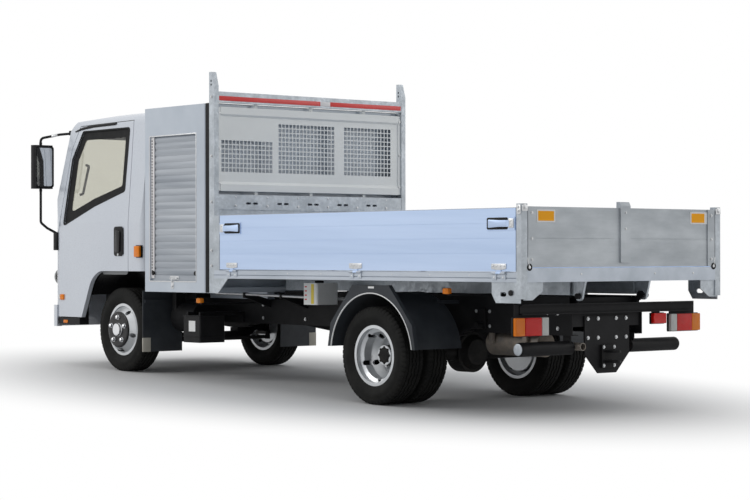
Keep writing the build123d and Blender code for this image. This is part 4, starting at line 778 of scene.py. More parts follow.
TYRE = Finish(
    "tyre_rubber_black", (0.008, 0.008, 0.008), (0.015, 0.015, 0.014), rough=(0.62, 0.8), patch=12.0, grain=500.0,
    relief=0.25, depth=0.0005, dust=0.18, dust_colour=(0.05, 0.045, 0.04), dust_top=0.4, shine=0.12,
)
RIM = Finish(
    "rim_silver", (0.58, 0.6, 0.62), (0.66, 0.68, 0.7), metallic=0.55, rough=(0.28, 0.4), patch=8.0, grain=240.0,
    relief=0.08, depth=0.0004, coat=0.3, dust=0.25, dust_colour=(0.35, 0.32, 0.28), dust_top=0.7,
)
PLASTIC = Finish(
    "black_grained_plastic", (0.007, 0.007, 0.008), (0.013, 0.013, 0.014), rough=(0.42, 0.58), patch=10.0,
    grain=700.0, relief=0.35, depth=0.0005, dust=0.12, dust_colour=(0.08, 0.075, 0.07), shine=0.16,
)
GUARD = Finish(
    "mudguard_plastic", (0.028, 0.032, 0.038), (0.045, 0.05, 0.057), rough=(0.38, 0.55), patch=6.0, grain=420.0,
    relief=0.3, dust=0.2, dust_colour=(0.1, 0.095, 0.09), shine=0.2,
)
GLOSS = Finish(
    "gloss_black", (0.005, 0.005, 0.006), (0.009, 0.009, 0.01), rough=(0.22, 0.3), patch=6.0, grain=200.0,
    relief=0.05, depth=0.0003, shine=0.3,
)
SEAL = Finish(
    "seal_rubber", (0.012, 0.012, 0.013), (0.02, 0.02, 0.02), rough=(0.5, 0.65), patch=20.0, grain=400.0,
    relief=0.2, depth=0.0004, shine=0.1,
)
PANE = Clear(
    "tinted_glass", (0.72, 0.715, 0.655), (0.74, 0.735, 0.68), rough=(0.0, 0.02), patch=2.0, grain=3.0,
    relief=0.02, depth=0.0004,
)
RED_LENS = Fluted(
    "red_lens", (0.62, 0.004, 0.003), (0.78, 0.01, 0.006), rough=(0.16, 0.24), shine=0.25, passing=0.1,
)
AMBER_LENS = Fluted(
    "amber_lens", (0.85, 0.2, 0.004), (0.95, 0.27, 0.008), rough=(0.16, 0.24), shine=0.25, passing=0.1,
)
WHITE_LENS = Fluted("white_lens", (0.7, 0.7, 0.67), (0.8, 0.8, 0.77), rough=(0.12, 0.2), shine=0.4, passing=0.3)
MIRROR = Finish(
    "mirror_glass", (0.62, 0.64, 0.66), (0.66, 0.68, 0.7), metallic=1.0, rough=(0.03, 0.05), relief=0.01,
)
GREY_FACE = Finish("grey_moulding", (0.2, 0.21, 0.215), (0.25, 0.26, 0.265), rough=(0.35, 0.5), relief=0.2)
TANK = Finish(
    "tank_white_plastic", (0.76, 0.77, 0.76), (0.82, 0.83, 0.82), rough=(0.3, 0.42), patch=5.0, relief=0.1,
    depth=0.0004, dust=0.35, dust_colour=(0.42, 0.38, 0.32), dust_top=1.1,
)
PIPE = Finish(
    "dull_pipe_steel", (0.2, 0.19, 0.18), (0.34, 0.29, 0.24), metallic=0.7, rough=(0.45, 0.65), patch=14.0,
    grain=200.0, relief=0.3, depth=0.0007, dust=0.4, dust_colour=(0.22, 0.17, 0.13),
)
CHROME = Finish(
    "hard_chrome", (0.66, 0.67, 0.69), (0.72, 0.73, 0.75), metallic=1.0, rough=(0.08, 0.14), relief=0.03,
)
STEEL = Finish(
    "plated_fastener", (0.5, 0.51, 0.52), (0.62, 0.63, 0.64), metallic=0.8, rough=(0.28, 0.45), patch=40.0,
    grain=500.0, relief=0.2, depth=0.0004,
)
CLOTH = Woven("seat_cloth", (0.055, 0.057, 0.062), (0.085, 0.088, 0.094), rough=(0.75, 0.9), relief=0.3)
LINING = Woven("roof_lining", (0.36, 0.355, 0.33), (0.42, 0.41, 0.385), rough=(0.8, 0.92), relief=0.3)
RED_TAPE = Finish("red_strip", (0.62, 0.03, 0.03), (0.72, 0.045, 0.04), rough=(0.25, 0.36), relief=0.05)
PALE_TAPE = Finish("pale_strip", (0.72, 0.7, 0.7), (0.78, 0.76, 0.76), rough=(0.25, 0.36), relief=0.05)
ORANGE_PLATE = Finish("orange_plate", (0.98, 0.4, 0.004), (1.0, 0.44, 0.01), relief=0.05, shine=0.2)
YELLOW_TAPE = Finish("yellow_strip", (0.8, 0.6, 0.04), (0.85, 0.66, 0.07), rough=(0.35, 0.45), relief=0.05)
PALE_RUBBER = Finish("pale_rubber", (0.42, 0.4, 0.34), (0.5, 0.47, 0.41), rough=(0.5, 0.65), relief=0.2)
WHITE_PLATE = Finish("white_plate", (0.78, 0.78, 0.77), (0.83, 0.83, 0.82), rough=(0.3, 0.42), relief=0.05)

CAD_FINISHES: dict[str, Finish] = {
    "tyre_front": TYRE, "tyres_rear": TYRE, "wheel_front": RIM, "wheels_rear": RIM, "knuckle": CASTING,
    "track_rod": CASTING, "front_axle": FRAME_BLACK, "rear_axle": CASTING, "leaf_springs": FRAME_BLACK,
    "chassis_frame": FRAME_BLACK, "subframe": FRAME_BLACK, "ram_barrel": FRAME_BLACK, "ram_stage": CHROME,
    "engine_and_gearbox": CASTING, "propeller_shaft": FRAME_BLACK, "fuel_tank": FRAME_BLACK,
    "battery_box": PLASTIC, "air_cleaner": PLASTIC, "oil_tank": TANK, "exhaust": PIPE, "mudguards": GUARD,
    "lamp_carrier": FRAME_BLACK, "lamps": RED_LENS, "tow_bracket": FRAME_BLACK, "underrun_bar": FRAME_BLACK,
    "tool_locker": LOCKER_PAINT, "locker_shutters": SLAT, "bed_floor": FLOOR_PLATE, "bed_runners": ZINC,
    "headboard_frame": ZINC, "headboard_grille": GRILLE, "corner_posts": ZINC, "dropside": PLANK,
    "tailgate": GATE_WITH_SHADE, "cab_shell": PAINT, "cab_glass": PANE, "door_glass": PANE, "door": PAINT,
    "bumper": PAINT, "headlamps": WHITE_LENS, "front_grille": GLOSS, "cab_steps": PLASTIC,
    "mirrors": PLASTIC, "steering_wheel": PLASTIC, "dashboard": PLASTIC, "seats": CLOTH,
}


def dress_nodes(truck: Truck) -> None:
    """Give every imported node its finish.

    Args:
        truck: The truck, whose nodes are dressed.
    """
    for name, node in truck.nodes.items():
        stem = max((key for key in CAD_FINISHES if name.startswith(key)), key=len)
        made = CAD_FINISHES[stem].material()
        if not node.material_slots:
            node.data.materials.append(made)
        for place in node.material_slots:
            place.material = made
        log.info("%s: %s", name, made.name)


@dataclass
class SubAssembly:
    """What the sub-assemblies share. Pieces of a side are drawn for the left and mirrored for the right."""

    truck: Truck
    body: str = "chassis"

    def mould(self, side: Side = Side.LEFT) -> Mould:
        """An empty mould for one side."""
        return Mould(self.truck, side)

    def build_side(self, side: Side) -> None:
        """Make what one side has."""

    def build_middle(self) -> None:
        """Make what is left once both sides are made."""

    def build(self) -> None:
        """Make the whole sub-assembly."""
        for side in Side:
            self.build_side(side)
        self.build_middle()


@dataclass
class Tyres(SubAssembly):
    """Road tyres with ribs, zigzag grooves and cut shoulders, over the solids' form."""

    radius: float = 352.0
    width: float = 205.0
    bead_radius: float = 205.0
    bead_half: float = 70.7
    flange_radius: float = 231.0
    shoulder: float = 24.0
    wall_steps: int = 8
    bulge: Flat = (0.16, 0.62)  # where on a half wave the wall starts, and how much of it the wall takes
    rib_steps: tuple[int, ...] = (2, 6)
    rib_depth: float = 1.5
    crown: tuple[Flat, ...] = ((14.0, 9.0), (22.0, 0.0))
    crown_start: float = 7.0
    tread_edge: float = 32.0
    shoulder_cut: float = 7.0
    groove_depth: float = 9.0
    groove_half: float = 5.0
    groove_places: tuple[float, ...] = (-48.0, -16.0, 16.0, 48.0)
    zigzag: float = 3.5
    pitches: int = 60
    steps_per_pitch: int = 5
    single_below: float = 50.0

    def across(self) -> list[Flat]:
        """Draw the section.

        Returns:
            Its points as distance across and radius, from one bead round to the other.
        """
        half = self.width / 2
        section: list[Flat] = [(self.bead_half, self.bead_radius)]
        for step in range(self.wall_steps + 1):
            t = step / self.wall_steps
            radius = self.flange_radius + t * (self.radius - self.shoulder - self.flange_radius)
            bulge = math.sin(math.pi * min(1.0, self.bulge[0] + self.bulge[1] * t))
            out = self.bead_half + (half - self.bead_half) * bulge
            if step == self.wall_steps:
                out = half - self.crown_start
            section.append((out - (self.rib_depth if step in self.rib_steps else 0.0), radius))
        section += [(half - inward, self.radius - down) for inward, down in self.crown]
        lip, wall = self.groove_half + 0.5, self.groove_half - 1.5
        edges = [
            (place + offset, self.radius)
            for place in sorted(self.groove_places, reverse=True) for offset in (lip, wall, -wall, -lip)
        ]
        return section + edges + [(-x, radius) for x, radius in reversed(section)]

    def ring(self, section: list[Flat], step: int) -> list[Flat]:
        """Cut the grooves and the shoulder at one step round the tyre.

        Args:
            section: The plain section.
            step: Which step it is.

        Returns:
            The section with its cuts.
        """
        pitch, phase = divmod(step, self.steps_per_pitch)
        shift = self.zigzag if pitch % 2 else -self.zigzag
        found: list[Flat] = []
        for x, radius in section:
            for place in self.groove_places:
                offset = abs(x - place)
                if offset < self.groove_half + 1 and radius > self.radius - 1:
                    if offset < self.groove_half:
                        radius = self.radius - self.groove_depth
                    if abs(place) < max(self.groove_places):
                        x += shift
                    break
            near_edge = abs(x) > self.width / 2 - self.tread_edge and radius > self.radius - self.shoulder - 4
            if phase == 0 and near_edge:
                radius -= self.shoulder_cut
            found.append((x, radius))
        return found

    def build_one(self, mould: Mould, centre: Vector) -> None:
        """Add one tyre to a mould.

        Args:
            mould: The mould.
            centre: The tyre's middle.
        """
        section = self.across()
        steps = self.pitches * self.steps_per_pitch
        loops = []
        for step in range(steps):
            turn = math.tau * step / steps
            out = Vector((0, math.cos(turn), math.sin(turn)))
            loops.append([centre + Vector((x, 0, 0)) + out * radius for x, radius in self.ring(section, step)])
        mould.loft(loops, close=True)

    def build_side(self, side: Side) -> None:
        """Make one side's tyres in place of their solids.

        Args:
            side: The side.
        """
        for place, stem, body in (("front", "tyre_front", "front_wheel"), ("rear", "tyres_rear", "rear_wheels")):
            node = f"{stem}_{side.word}"
            span = self.truck.span(node)
            middle = (span.low + span.high) / 2
            ends = sorted(abs(x) for x in (span.low.x, span.high.x))
            inner, outer = ends[0] + self.width / 2, ends[1] - self.width / 2
            twin = outer - inner > self.single_below
            mould = self.mould()
            for x in (round(inner, 1), round(outer, 1)) if twin else ((inner + outer) / 2,):
                self.build_one(mould, Vector((side.value * x, middle.y, middle.z)))
            name = f"{place}_tread_{side.word}"
            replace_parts(mould.cast(name, f"{body}_{side.word}", TYRE, Slot.RUBBER, sharp=28.0), node)


@dataclass
class Wheels(SubAssembly):
    """Hub covers, nuts and valves of the wheels."""

    front_hub: Flat = (-3395.0, 96.4)
    front_disc: float = 854.0
    rear_disc: float = 710.0
    stud_circle: float = 104.0
    studs: int = 5
    hub_bolts: int = 8
    hub_bolt_circle: float = 56.0
    valve_radius: float = 4.5

    def add_nuts(self, mould: Mould, x: float, hub: Flat, section: Sequence[Flat]) -> None:
        """Set a wheel's nuts round its hub.

        Args:
            mould: The mould that they go into.
            x: How far out they sit.
            hub: The hub's Y and Z.
            section: A nut's turned section.
        """
        for number in range(self.studs):
            turn = math.radians(90 + 360 * number / self.studs)
            y, z = (at + self.stud_circle * part for at, part in zip(hub, (math.cos(turn), math.sin(turn))))
            mould.lathe((x, y, z), (1, 0, 0), section, 6)

    def build_front(self, side: Side) -> None:
        """Dress a front wheel.

        Args:
            side: The wheel's side.
        """
        y, z = self.front_hub
        body = "front_wheel_{side}"
        cover = [(0, 151), (12, 151), (15, 147), (16, 130), (14, 60), (14, 51)]
        self.mould(side).lathe((self.front_disc - 1, y, z), (1, 0, 0), cover, 56).cast(
            "hub_cover_{side}", body, GLOSS, Slot.BLACK_PLASTIC
        )
        nuts = self.mould(side)
        seat = self.front_disc + 14
        self.add_nuts(nuts, seat, self.front_hub, [(0, 23), (3, 22), (4, 17.5), (17, 17.5), (22, 12), (24, 5)])
        nuts.lathe((seat, y, z), (1, 0, 0), [(0, 56), (3, 53), (20, 50.5), (22, 46), (21, 30)], 40)
        nuts.cast("front_nuts_{side}", body, CHROME, Slot.CHROME)
        valve = [(self.front_disc - 55, y, z - 182), (self.front_disc + 12, y, z - 176)]
        self.mould(side).tube(valve, self.valve_radius).cast("front_valve_{side}", body, SEAL, Slot.RUBBER)

    def build_rear(self, side: Side) -> None:
        """Dress a pair of rear wheels.

        Args:
            side: The wheels' side.
        """
        body = "rear_wheels_{side}"
        seat = self.rear_disc + 1
        boss = [(0, 82), (8, 82), (12, 74.5), (86, 74.5), (92, 70), (102, 52), (104, 30)]
        hub = self.mould(side).lathe((seat, 0, 0), (1, 0, 0), boss, 40)
        for number in range(self.hub_bolts):
            turn = math.tau * number / self.hub_bolts
            y, z = self.hub_bolt_circle * math.cos(turn), self.hub_bolt_circle * math.sin(turn)
            hub.bolt((self.rear_disc + 99, y, z), (1, 0, 0), 8.0)
        hub.cast("rear_hub_{side}", body, CASTING, Slot.CAST_BLACK)
        nuts = self.mould(side)
        self.add_nuts(nuts, seat, (0, 0), [(0, 24), (4, 23), (5, 18), (32, 18), (38, 12), (40, 5)])
        nuts.cast("rear_nuts_{side}", body, STEEL, Slot.CHROME)
        valve = [(780, 0, -176), (868, 0, -196)]
        self.mould(side).tube(valve, self.valve_radius).cast("rear_valve_{side}", body, SEAL, Slot.RUBBER)

    def build_side(self, side: Side) -> None:
        """Dress one side's wheels."""
        self.build_front(side)
        self.build_rear(side)


@dataclass
class Underframe(SubAssembly):
    """Guard lips, labels, tank fittings and caps along the frame."""

    guard_y: float = 34.0
    guard_radius: float = 450.0
    guard_face: float = 970.0
    guard_foot: float = 60.0
    guard_steps: int = 40
    web: float = 350.0

    def build_side(self, side: Side) -> None:
        """Edge a mudguard with its pale lip and marker, and hem a front flap.

        Args:
            side: The side.
        """
        low = math.asin(self.guard_foot / self.guard_radius)
        turns = (low + (math.pi - 2 * low) * step / self.guard_steps for step in range(self.guard_steps + 1))
        x, radius = self.guard_face - 2, self.guard_radius
        route = [(x, self.guard_y + radius * math.cos(turn), radius * math.sin(turn)) for turn in turns]
        lip = self.mould(side).tube(route, 5.0, 1.0, 8)
        lip.cast("guard_lip_{side}", self.body, WHITE_PLATE, Slot.GALVANISED)
        marker = self.mould(side).box((self.guard_face - 1, self.guard_face + 1), (12, 76), (484, 498))
        marker.cast("guard_marker_{side}", self.body, WHITE_PLATE, Slot.TANK_WHITE)
        hem = self.mould(side).box((836, 914), (-2962, -2950), (-76, 40))
        hem.cast("flap_hem_{side}", self.body, PALE_RUBBER, Slot.RUBBER, bevel=2.0)

    def build_tanks(self) -> None:
        """Add the battery's label and ribs, and the oil tank's strip, marks and caps."""
        label = self.mould().plate((-2440, -2350), (106, 192), Axis.X, 809.5, 811.5, 5.0, 3)
        label.cast("battery_label", self.body, WHITE_PLATE, Slot.TANK_WHITE)
        ribs = self.mould()
        for z in (60, 226):
            ribs.box((566, 813), (-2524, -2284), (z, z + 8))
        ribs.cast("battery_ribs", self.body, PLASTIC, Slot.BLACK_PLASTIC, bevel=2.0)
        strip = self.mould().box((699.5, 701.2), (-985, -951), (352, 502))
        strip.cast("oil_level_strip", self.body, YELLOW_TAPE, Slot.TANK_WHITE)
        marks = self.mould()
        for z in (380, 412, 444, 476):
            marks.box((699.5, 701.0), (-1062, -1038), (z, z + 10))
        marks.cast("oil_level_marks", self.body, RED_TAPE, Slot.LENS)
        caps = self.mould()
        caps.lathe((600, -1010, 507), (0, 0, 1), [(0, 34), (16, 34), (20, 30), (21, 12)], 28)
        caps.lathe((-760, -1660, 338), (-0.3, 0, 1), [(0, 42), (18, 42), (24, 36), (25, 12)], 28)
        caps.cast("tank_caps", self.body, PLASTIC, Slot.BLACK_PLASTIC, bevel=1.0)

    def build_runs(self) -> None:
        """Run the conduit on its stays, and strap the fuel tank."""
        conduit = self.mould().tube([(596, -2360, 412), (600, -1800, 408), (604, -1084, 396)], 10.0, 60.0)
        conduit.cast("conduit", self.body, STEEL, Slot.ALUMINIUM)
        stays = self.mould()
        arm = [(349, 300), (349, 362), (586, 424), (614, 424), (614, 380), (586, 380)]
        for y in (-1960, -1480):
            stays.prism(arm, Axis.Y, y - 14, y + 14)
        stays.cast("conduit_stays", self.body, FRAME_BLACK, Slot.CHASSIS_BLACK, bevel=2.0)
        straps = self.mould()
        wrap = [(-352, 346), (-780, 346), (-806, 320), (-806, 30), (-780, 6), (-420, 6)]
        for y in (-1940, -1380):
            straps.tube([(x, y, z) for x, z in wrap], 5.0, 20.0, 8)
        straps.cast("fuel_tank_bands", self.body, STEEL, Slot.GALVANISED)

    def build_rear(self) -> None:
        """Cap the under-run tube and bolt the frame."""
        for side, finish in ((Side.LEFT, ZINC), (Side.RIGHT, GREY_FACE)):
            cap = self.mould(side).lathe((784, 1356, 84), (1, 0, 0), [(0, 40), (4, 40), (6, 34), (6, 10)], 32)
            cap.cast("underrun_cap_{side}", self.body, finish, Slot.BLACK_PLASTIC)
        bolts = self.mould()
        for xs, y, zs, size in (((-190, -90, 90, 190), 1432, (282, 150), 10.0), ((-52, 52), 1450, (-44, 84), 9.0)):
            for x in xs:
                for z in zs:
                    bolts.bolt((x, y, z), (0, 1, 0), size)
        for way in (1, -1):
            for y in (-2050, -1500, -700, -640, 480, 620, 1200, 1300):
                for z in (320, 215):
                    bolts.bolt((way * self.web, y, z), (way, 0, 0), 10.0)
        bolts.cast("frame_bolts", self.body, STEEL, Slot.CHROME)

    def build_middle(self) -> None:
        """Dress the tanks, the runs between them and the frame's rear."""
        self.build_tanks()
        self.build_runs()
        self.build_rear()


@dataclass
class Lamps(SubAssembly):
    """Rear lamp clusters, fog lamp and side lamps in place of their solids."""

    y: Flat = (1436.0, 1478.0)
    z: Flat = (175.0, 306.0)
    back_depth: float = 16.0
    side_lamps: tuple[Point, ...] = ((754.0, 452.0, 494.0), (-2185.0, 340.0, 380.0))

    def lens(self, side: Side, name: str, x: Flat, z: Flat, finish: Finish) -> None:
        """Cast one lens of a rear cluster.

        Args:
            side: The side that it is on.
            name: Its name.
            x: Its sides.
            z: Its bottom and top.
            finish: Its colour.
        """
        mould = self.mould(side).plate(x, z, Axis.Y, self.y[0] + 12, self.y[1] - 0.5, 7.0, 4)
        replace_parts(mould.cast(name, self.body, finish, Slot.LENS, bevel=4.0), "lamps")

    def back(self, side: Side, name: str, x: Flat, z: Flat) -> None:
        """Cast the black back of a rear cluster.

        Args:
            side: The side that it is on.
            name: Its name.
            x: Its sides.
            z: Its bottom and top.
        """
        mould = self.mould(side).plate(x, z, Axis.Y, self.y[0], self.y[0] + self.back_depth, 8.0, 4)
        mould.cast(name, self.body, PLASTIC, Slot.BLACK_PLASTIC, bevel=2.0)

    def build_side(self, side: Side) -> None:
        """Make one side's rear cluster and side lamps.

        Args:
            side: The side.
        """
        self.back(side, "rear_lamp_back_{side}", (606, 926), self.z)
        height = (self.z[0] + 5, self.z[1] - 5)
        for name, x, finish in (
            ("reversing", (611, 674), WHITE_LENS), ("stop", (677, 832), RED_LENS), ("turn", (835, 921), AMBER_LENS),
        ):
            self.lens(side, f"{name}_lens_{{side}}", x, height, finish)
        for number, (y, low, high) in enumerate(self.side_lamps, 1):
            stay = self.mould(side).box((350, 872), (y - 8, y + 8), (low - 12, low))
            stay.box((862, 880), (y - 26, y + 26), (low - 3, low + 3))
            stay.cast(f"side_lamp_stay_{{side}}_{number}", self.body, FRAME_BLACK, Slot.CHASSIS_BLACK, bevel=2.0)
            glow = self.mould(side).plate((y - 30, y + 30), (low, high), Axis.X, 862, 900, 12.0, 4)
            piece = glow.cast(f"side_lamp_{{side}}_{number}", self.body, AMBER_LENS, Slot.LENS, bevel=7.0)
            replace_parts(piece, "lamps")

    def build_middle(self) -> None:
        """Make the rear fog lamp, which only the right has."""
        self.lens(Side.LEFT, "rear_fog_lens", (-561, -428), (236, 309), RED_LENS)
        self.back(Side.LEFT, "rear_fog_back", (-565, -424), (232, 313))


@dataclass
class Cab(SubAssembly):
    """The cab's dress: window surrounds, handles, lamps, mirrors, wipers, blank plates and lining."""

    body: str = "cab"
    door: str = "door_{side}"
    half_width: float = 907.0
    waist: float = 1000.0
    tumblehome: float = 0.0721
    screen_foot: Flat = (-4383.0, 985.0)
    screen_slope: float = 0.2663
    corner: float = 150.0
    glass_depth: float = 14.0
    bumper_face: float = -4429.0
    mirror_face: float = -4359.0
    mirror_z: Flat = (1316.0, 1677.0)
    mirror_rim: float = 14.0
    opening: tuple[Flat, ...] = (
        (-4194, 984), (-4107, 1555), (-3960, 1788), (-3240, 1790), (-3262, 1264), (-3717, 1146),
    )
    clear_pane: tuple[Flat, ...] = (
        (-4092, 1096), (-4030, 1540), (-3920, 1716), (-3304, 1718), (-3316, 1306), (-3742, 1206),
    )
    visor: tuple[Point, ...] = (
        (-4085, 1798, 10), (-3990, 1818, 20), (-3800, 1834, 24), (-3470, 1838, 22), (-3440, 1838, 12),
    )
    screen: tuple[Flat, ...] = (
        (-800, 1014), (-757, 1014), (757, 1014), (800, 1014), (750, 1772), (710, 1772), (-710, 1772), (-750, 1772),
    )

    def side_x(self, z: float) -> float:
        """How far out the cab's side stands at a height."""
        return self.half_width - max(0.0, z - self.waist) * self.tumblehome

    def on_side(self, outline: Sequence[Flat], proud: float) -> list[Point]:
        """Lay an outline of Y and Z on the cab's side, standing out of it."""
        return [(self.side_x(z) + proud, y, z) for y, z in outline]

    def on_front(self, x: float, z: float, proud: float) -> Point:
        """Find a place on the cab's front.

        Args:
            x: Its place across the cab.
            z: Its height.
            proud: How far it stands ahead of the front.

        Returns:
            The place.
        """
        face = self.screen_foot[0] + max(0.0, z - self.screen_foot[1]) * self.screen_slope
        over = min(max(0.0, abs(x) - self.side_x(z) + self.corner), self.corner)
        return x, face + self.corner - math.sqrt(self.corner**2 - over**2) - proud, z

    def build_windows(self, side: Side) -> None:
        """Frame a door's window with its black border, seal and visor.

        Args:
            side: The door's side.
        """
        inset = 1 - self.glass_depth
        border = self.mould(side).band(
            self.on_side(rounded(self.opening, 28.0, 5), inset),
            self.on_side(rounded(self.clear_pane, 34.0, 5), inset), (3, 0, 0),
        )
        border.cast("window_border_{side}", self.door, SEAL, Slot.BLACK_PLASTIC)
        seal = self.mould(side).band(
            self.on_side(rounded(grown(self.opening, 9.0), 34.0, 5), -1.0),
            self.on_side(rounded(grown(self.opening, -5.0), 26.0, 5), -3.0), (4, 0, 0),
        )
        seal.cast("window_seal_{side}", self.door, SEAL, Slot.BLACK_PLASTIC, bevel=1.0)
        loops = []
        for y, z, depth in self.visor:
            out, half = self.side_x(z) - 3, depth / 2
            section = ((0, -half), (9, -half - 3), (12, 0), (4, half), (0, half))
            loops.append([(out + a, y, z + b) for a, b in section])
        self.mould(side).loft(loops).cast("door_visor_{side}", self.door, PLASTIC, Slot.BLACK_PLASTIC, bevel=1.5)

    def build_handle(self, side: Side) -> None:
        """Set a door's upright pull handle in its black cup, with the lock below.

        Args:
            side: The door's side.
        """
        face = self.half_width
        cup = self.mould(side).plate((-3389, -3247), (716, 964), Axis.X, face - 3, face + 8, 30.0)
        cup.cast("handle_cup_{side}", self.door, PLASTIC, Slot.BLACK_PLASTIC, bevel=3.0)
        outline = rounded([(-3362, 742), (-3290, 748), (-3284, 926), (-3350, 940)], 22.0)
        grip = self.mould(side).prism(outline, Axis.X, face + 7, face + 21)
        grip.cast("handle_grip_{side}", self.door, GLOSS, Slot.BLACK_PLASTIC, bevel=6.0)
        lock = self.mould(side).lathe((face + 8, -3322, 728), (1, 0, 0), [(0, 10), (4, 10), (5, 7), (3, 5)], 20)
        lock.cast("door_lock_{side}", self.door, STEEL, Slot.CHROME)

    def build_side_lamps(self, side: Side) -> None:
        """Fit a side's repeater, corner marker and sill reflector.

        Args:
            side: The side.
        """
        for name, body, y, z, x, radius, finish, slot, bevel in (
            ("repeater_front", self.door, (-4266, -4240), (338, 382), (903, 916), 6.0, WHITE_LENS, Slot.LENS, 3.0),
            ("repeater", self.door, (-4240, -4182), (336, 384), (904, 919), 8.0, AMBER_LENS, Slot.LENS, 4.0),
            ("marker_foot", self.body, (-3062, -2975), (702, 806), (900, 912), 10.0, PLASTIC, Slot.BLACK_PLASTIC, 2.0),
            ("marker", self.body, (-3058, -2979), (708, 800), (911, 936), 10.0, AMBER_LENS, Slot.LENS, 7.0),
            ("sill_reflector", self.body, (-4196, -4128), (136, 162), (904, 910), 7.0, AMBER_LENS, Slot.LENS, 2.0),
        ):
            self.mould(side).plate(y, z, Axis.X, *x, radius).cast(f"{name}_{{side}}", body, finish, slot, bevel=bevel)

    def build_mirror(self, side: Side) -> None:
        """Set a mirror's glass in its housing, and dress its arms.

        Args:
            side: The side.
        """
        outer = self.truck.span("mirrors").high.x
        rim = rectangle((outer - 192, outer - 7), self.mirror_z)
        inside = rounded(grown(rim, -self.mirror_rim), 20.0)
        face = self.mirror_face
        border = self.mould(side).border(rounded(rim, 26.0), inside, Axis.Y, face, face + 9)
        border.cast("mirror_rim_{side}", self.body, PLASTIC, Slot.BLACK_PLASTIC, bevel=2.0)
        pane = self.mould(side).prism(grown(inside, 2.0), Axis.Y, face - 1, face + 3)
        pane.cast("mirror_pane_{side}", self.body, MIRROR, Slot.GLASS)
        collars = self.mould(side)
        for low, high in ((1690, 1712), (1281, 1303)):
            collars.tube([(1018, -4392, low), (1018, -4392, high)], 13.0)
        collars.cast("mirror_collars_{side}", self.body, PLASTIC, Slot.BLACK_PLASTIC, bevel=2.0)
        plan = [(896, -4283), (922, -4288), (924, -4326), (904, -4370), (872, -4386), (858, -4366)]
        foot = self.mould(side).prism(rounded(plan, 12.0, 4), Axis.Z, 768, 922)
        foot.cast("mirror_foot_{side}", self.body, PLASTIC, Slot.BLACK_PLASTIC, bevel=5.0)
        sleeve = self.mould(side).tube([(948, -4322, 1765), (912, -4284, 1777)], 12.5)
        sleeve.cast("mirror_sleeve_{side}", self.body, STEEL, Slot.CHROME, bevel=1.0)

    def build_windscreen(self) -> None:
        """Seal the windscreen and lay its two wipers on it."""
        outer, inner = rounded(grown(self.screen, 12.0), 40.0, 4), rounded(grown(self.screen, -26.0), 34.0, 4)
        seal = self.mould().band(
            [self.on_front(x, z, -1.0) for x, z in outer], [self.on_front(x, z, -3.0) for x, z in inner], (0, -5, 0)
        )
        seal.cast("windscreen_seal", self.body, SEAL, Slot.BLACK_PLASTIC, bevel=1.0)
        for number, foot in enumerate((540.0, -60.0), 1):
            arm = ((0, 1000, 12), (60, 1020, 18), (400, 1120, 16))
            wiper = self.mould().tube([self.on_front(foot - x, z, proud) for x, z, proud in arm], 6.0)
            wiper.lathe(self.on_front(foot, 1000, -2), (0, -1, 0.27), [(0, 18), (16, 17), (20, 12)], 20)
            wiper.tube([self.on_front(foot - x, 1100 + x * 0.06, 9) for x in (130, 400, 640)], 5.0)
            wiper.cast(f"wiper_{number}", self.body, PLASTIC, Slot.BLACK_PLASTIC)

    def build_rear_window(self) -> None:
        """Seal the rear window."""
        outer = rounded(rectangle((-432, 432), (1318, 1752)), 60.0)
        glass = rounded(rectangle((-420, 420), (1330, 1740)), 50.0)
        inner = [(x * 0.95, 1535 + (z - 1535) * 0.9) for x, z in glass]
        seal = self.mould().border(outer, inner, Axis.Y, -2961, -2956)
        seal.cast("rear_window_seal", self.body, SEAL, Slot.BLACK_PLASTIC, bevel=1.0)

    def build_front(self) -> None:
        """Give the front its lamp bowls, fog lamps, grille frame and blank number plate."""
        ahead = (0, -1, 0)
        for side in Side:
            bowls, rings = self.mould(side), self.mould(side)
            for x, z in ((655, 515), (800, 535)):
                bowls.lathe((x, -4404, z), ahead, [(-4, 60), (3, 60), (9, 48), (12, 26), (13, 4)], 32)
                rings.lathe((x, -4404, z), ahead, [(-4, 72), (6, 72), (8, 68), (5, 60), (-4, 60)], 32)
            bowls.cast("headlamp_bowls_{side}", self.body, WHITE_LENS, Slot.LENS, sharp=60.0)
            rings.cast("headlamp_rings_{side}", self.body, CHROME, Slot.CHROME)
            fog = self.mould(side)
            fog.lathe((690, self.bumper_face, 196), ahead, [(-3, 42), (6, 42), (9, 36), (10, 5)], 28)
            fog.cast("bumper_lamp_{side}", self.body, WHITE_LENS, Slot.LENS, sharp=60.0)
        outer = rounded(rectangle((-438, 438), (392, 604)), 20.0)
        inner = rounded(rectangle((-414, 414), (414, 582)), 14.0)
        surround = self.mould().border(outer, inner, Axis.Y, -4396, -4408)
        surround.cast("grille_frame", self.body, CHROME, Slot.CHROME, bevel=3.0)
        plate = self.mould().plate((-260, 260), (142, 254), Axis.Y, self.bumper_face, self.bumper_face - 4, 8.0)
        plate.cast("front_number_plate", self.body, WHITE_PLATE, Slot.TANK_WHITE)

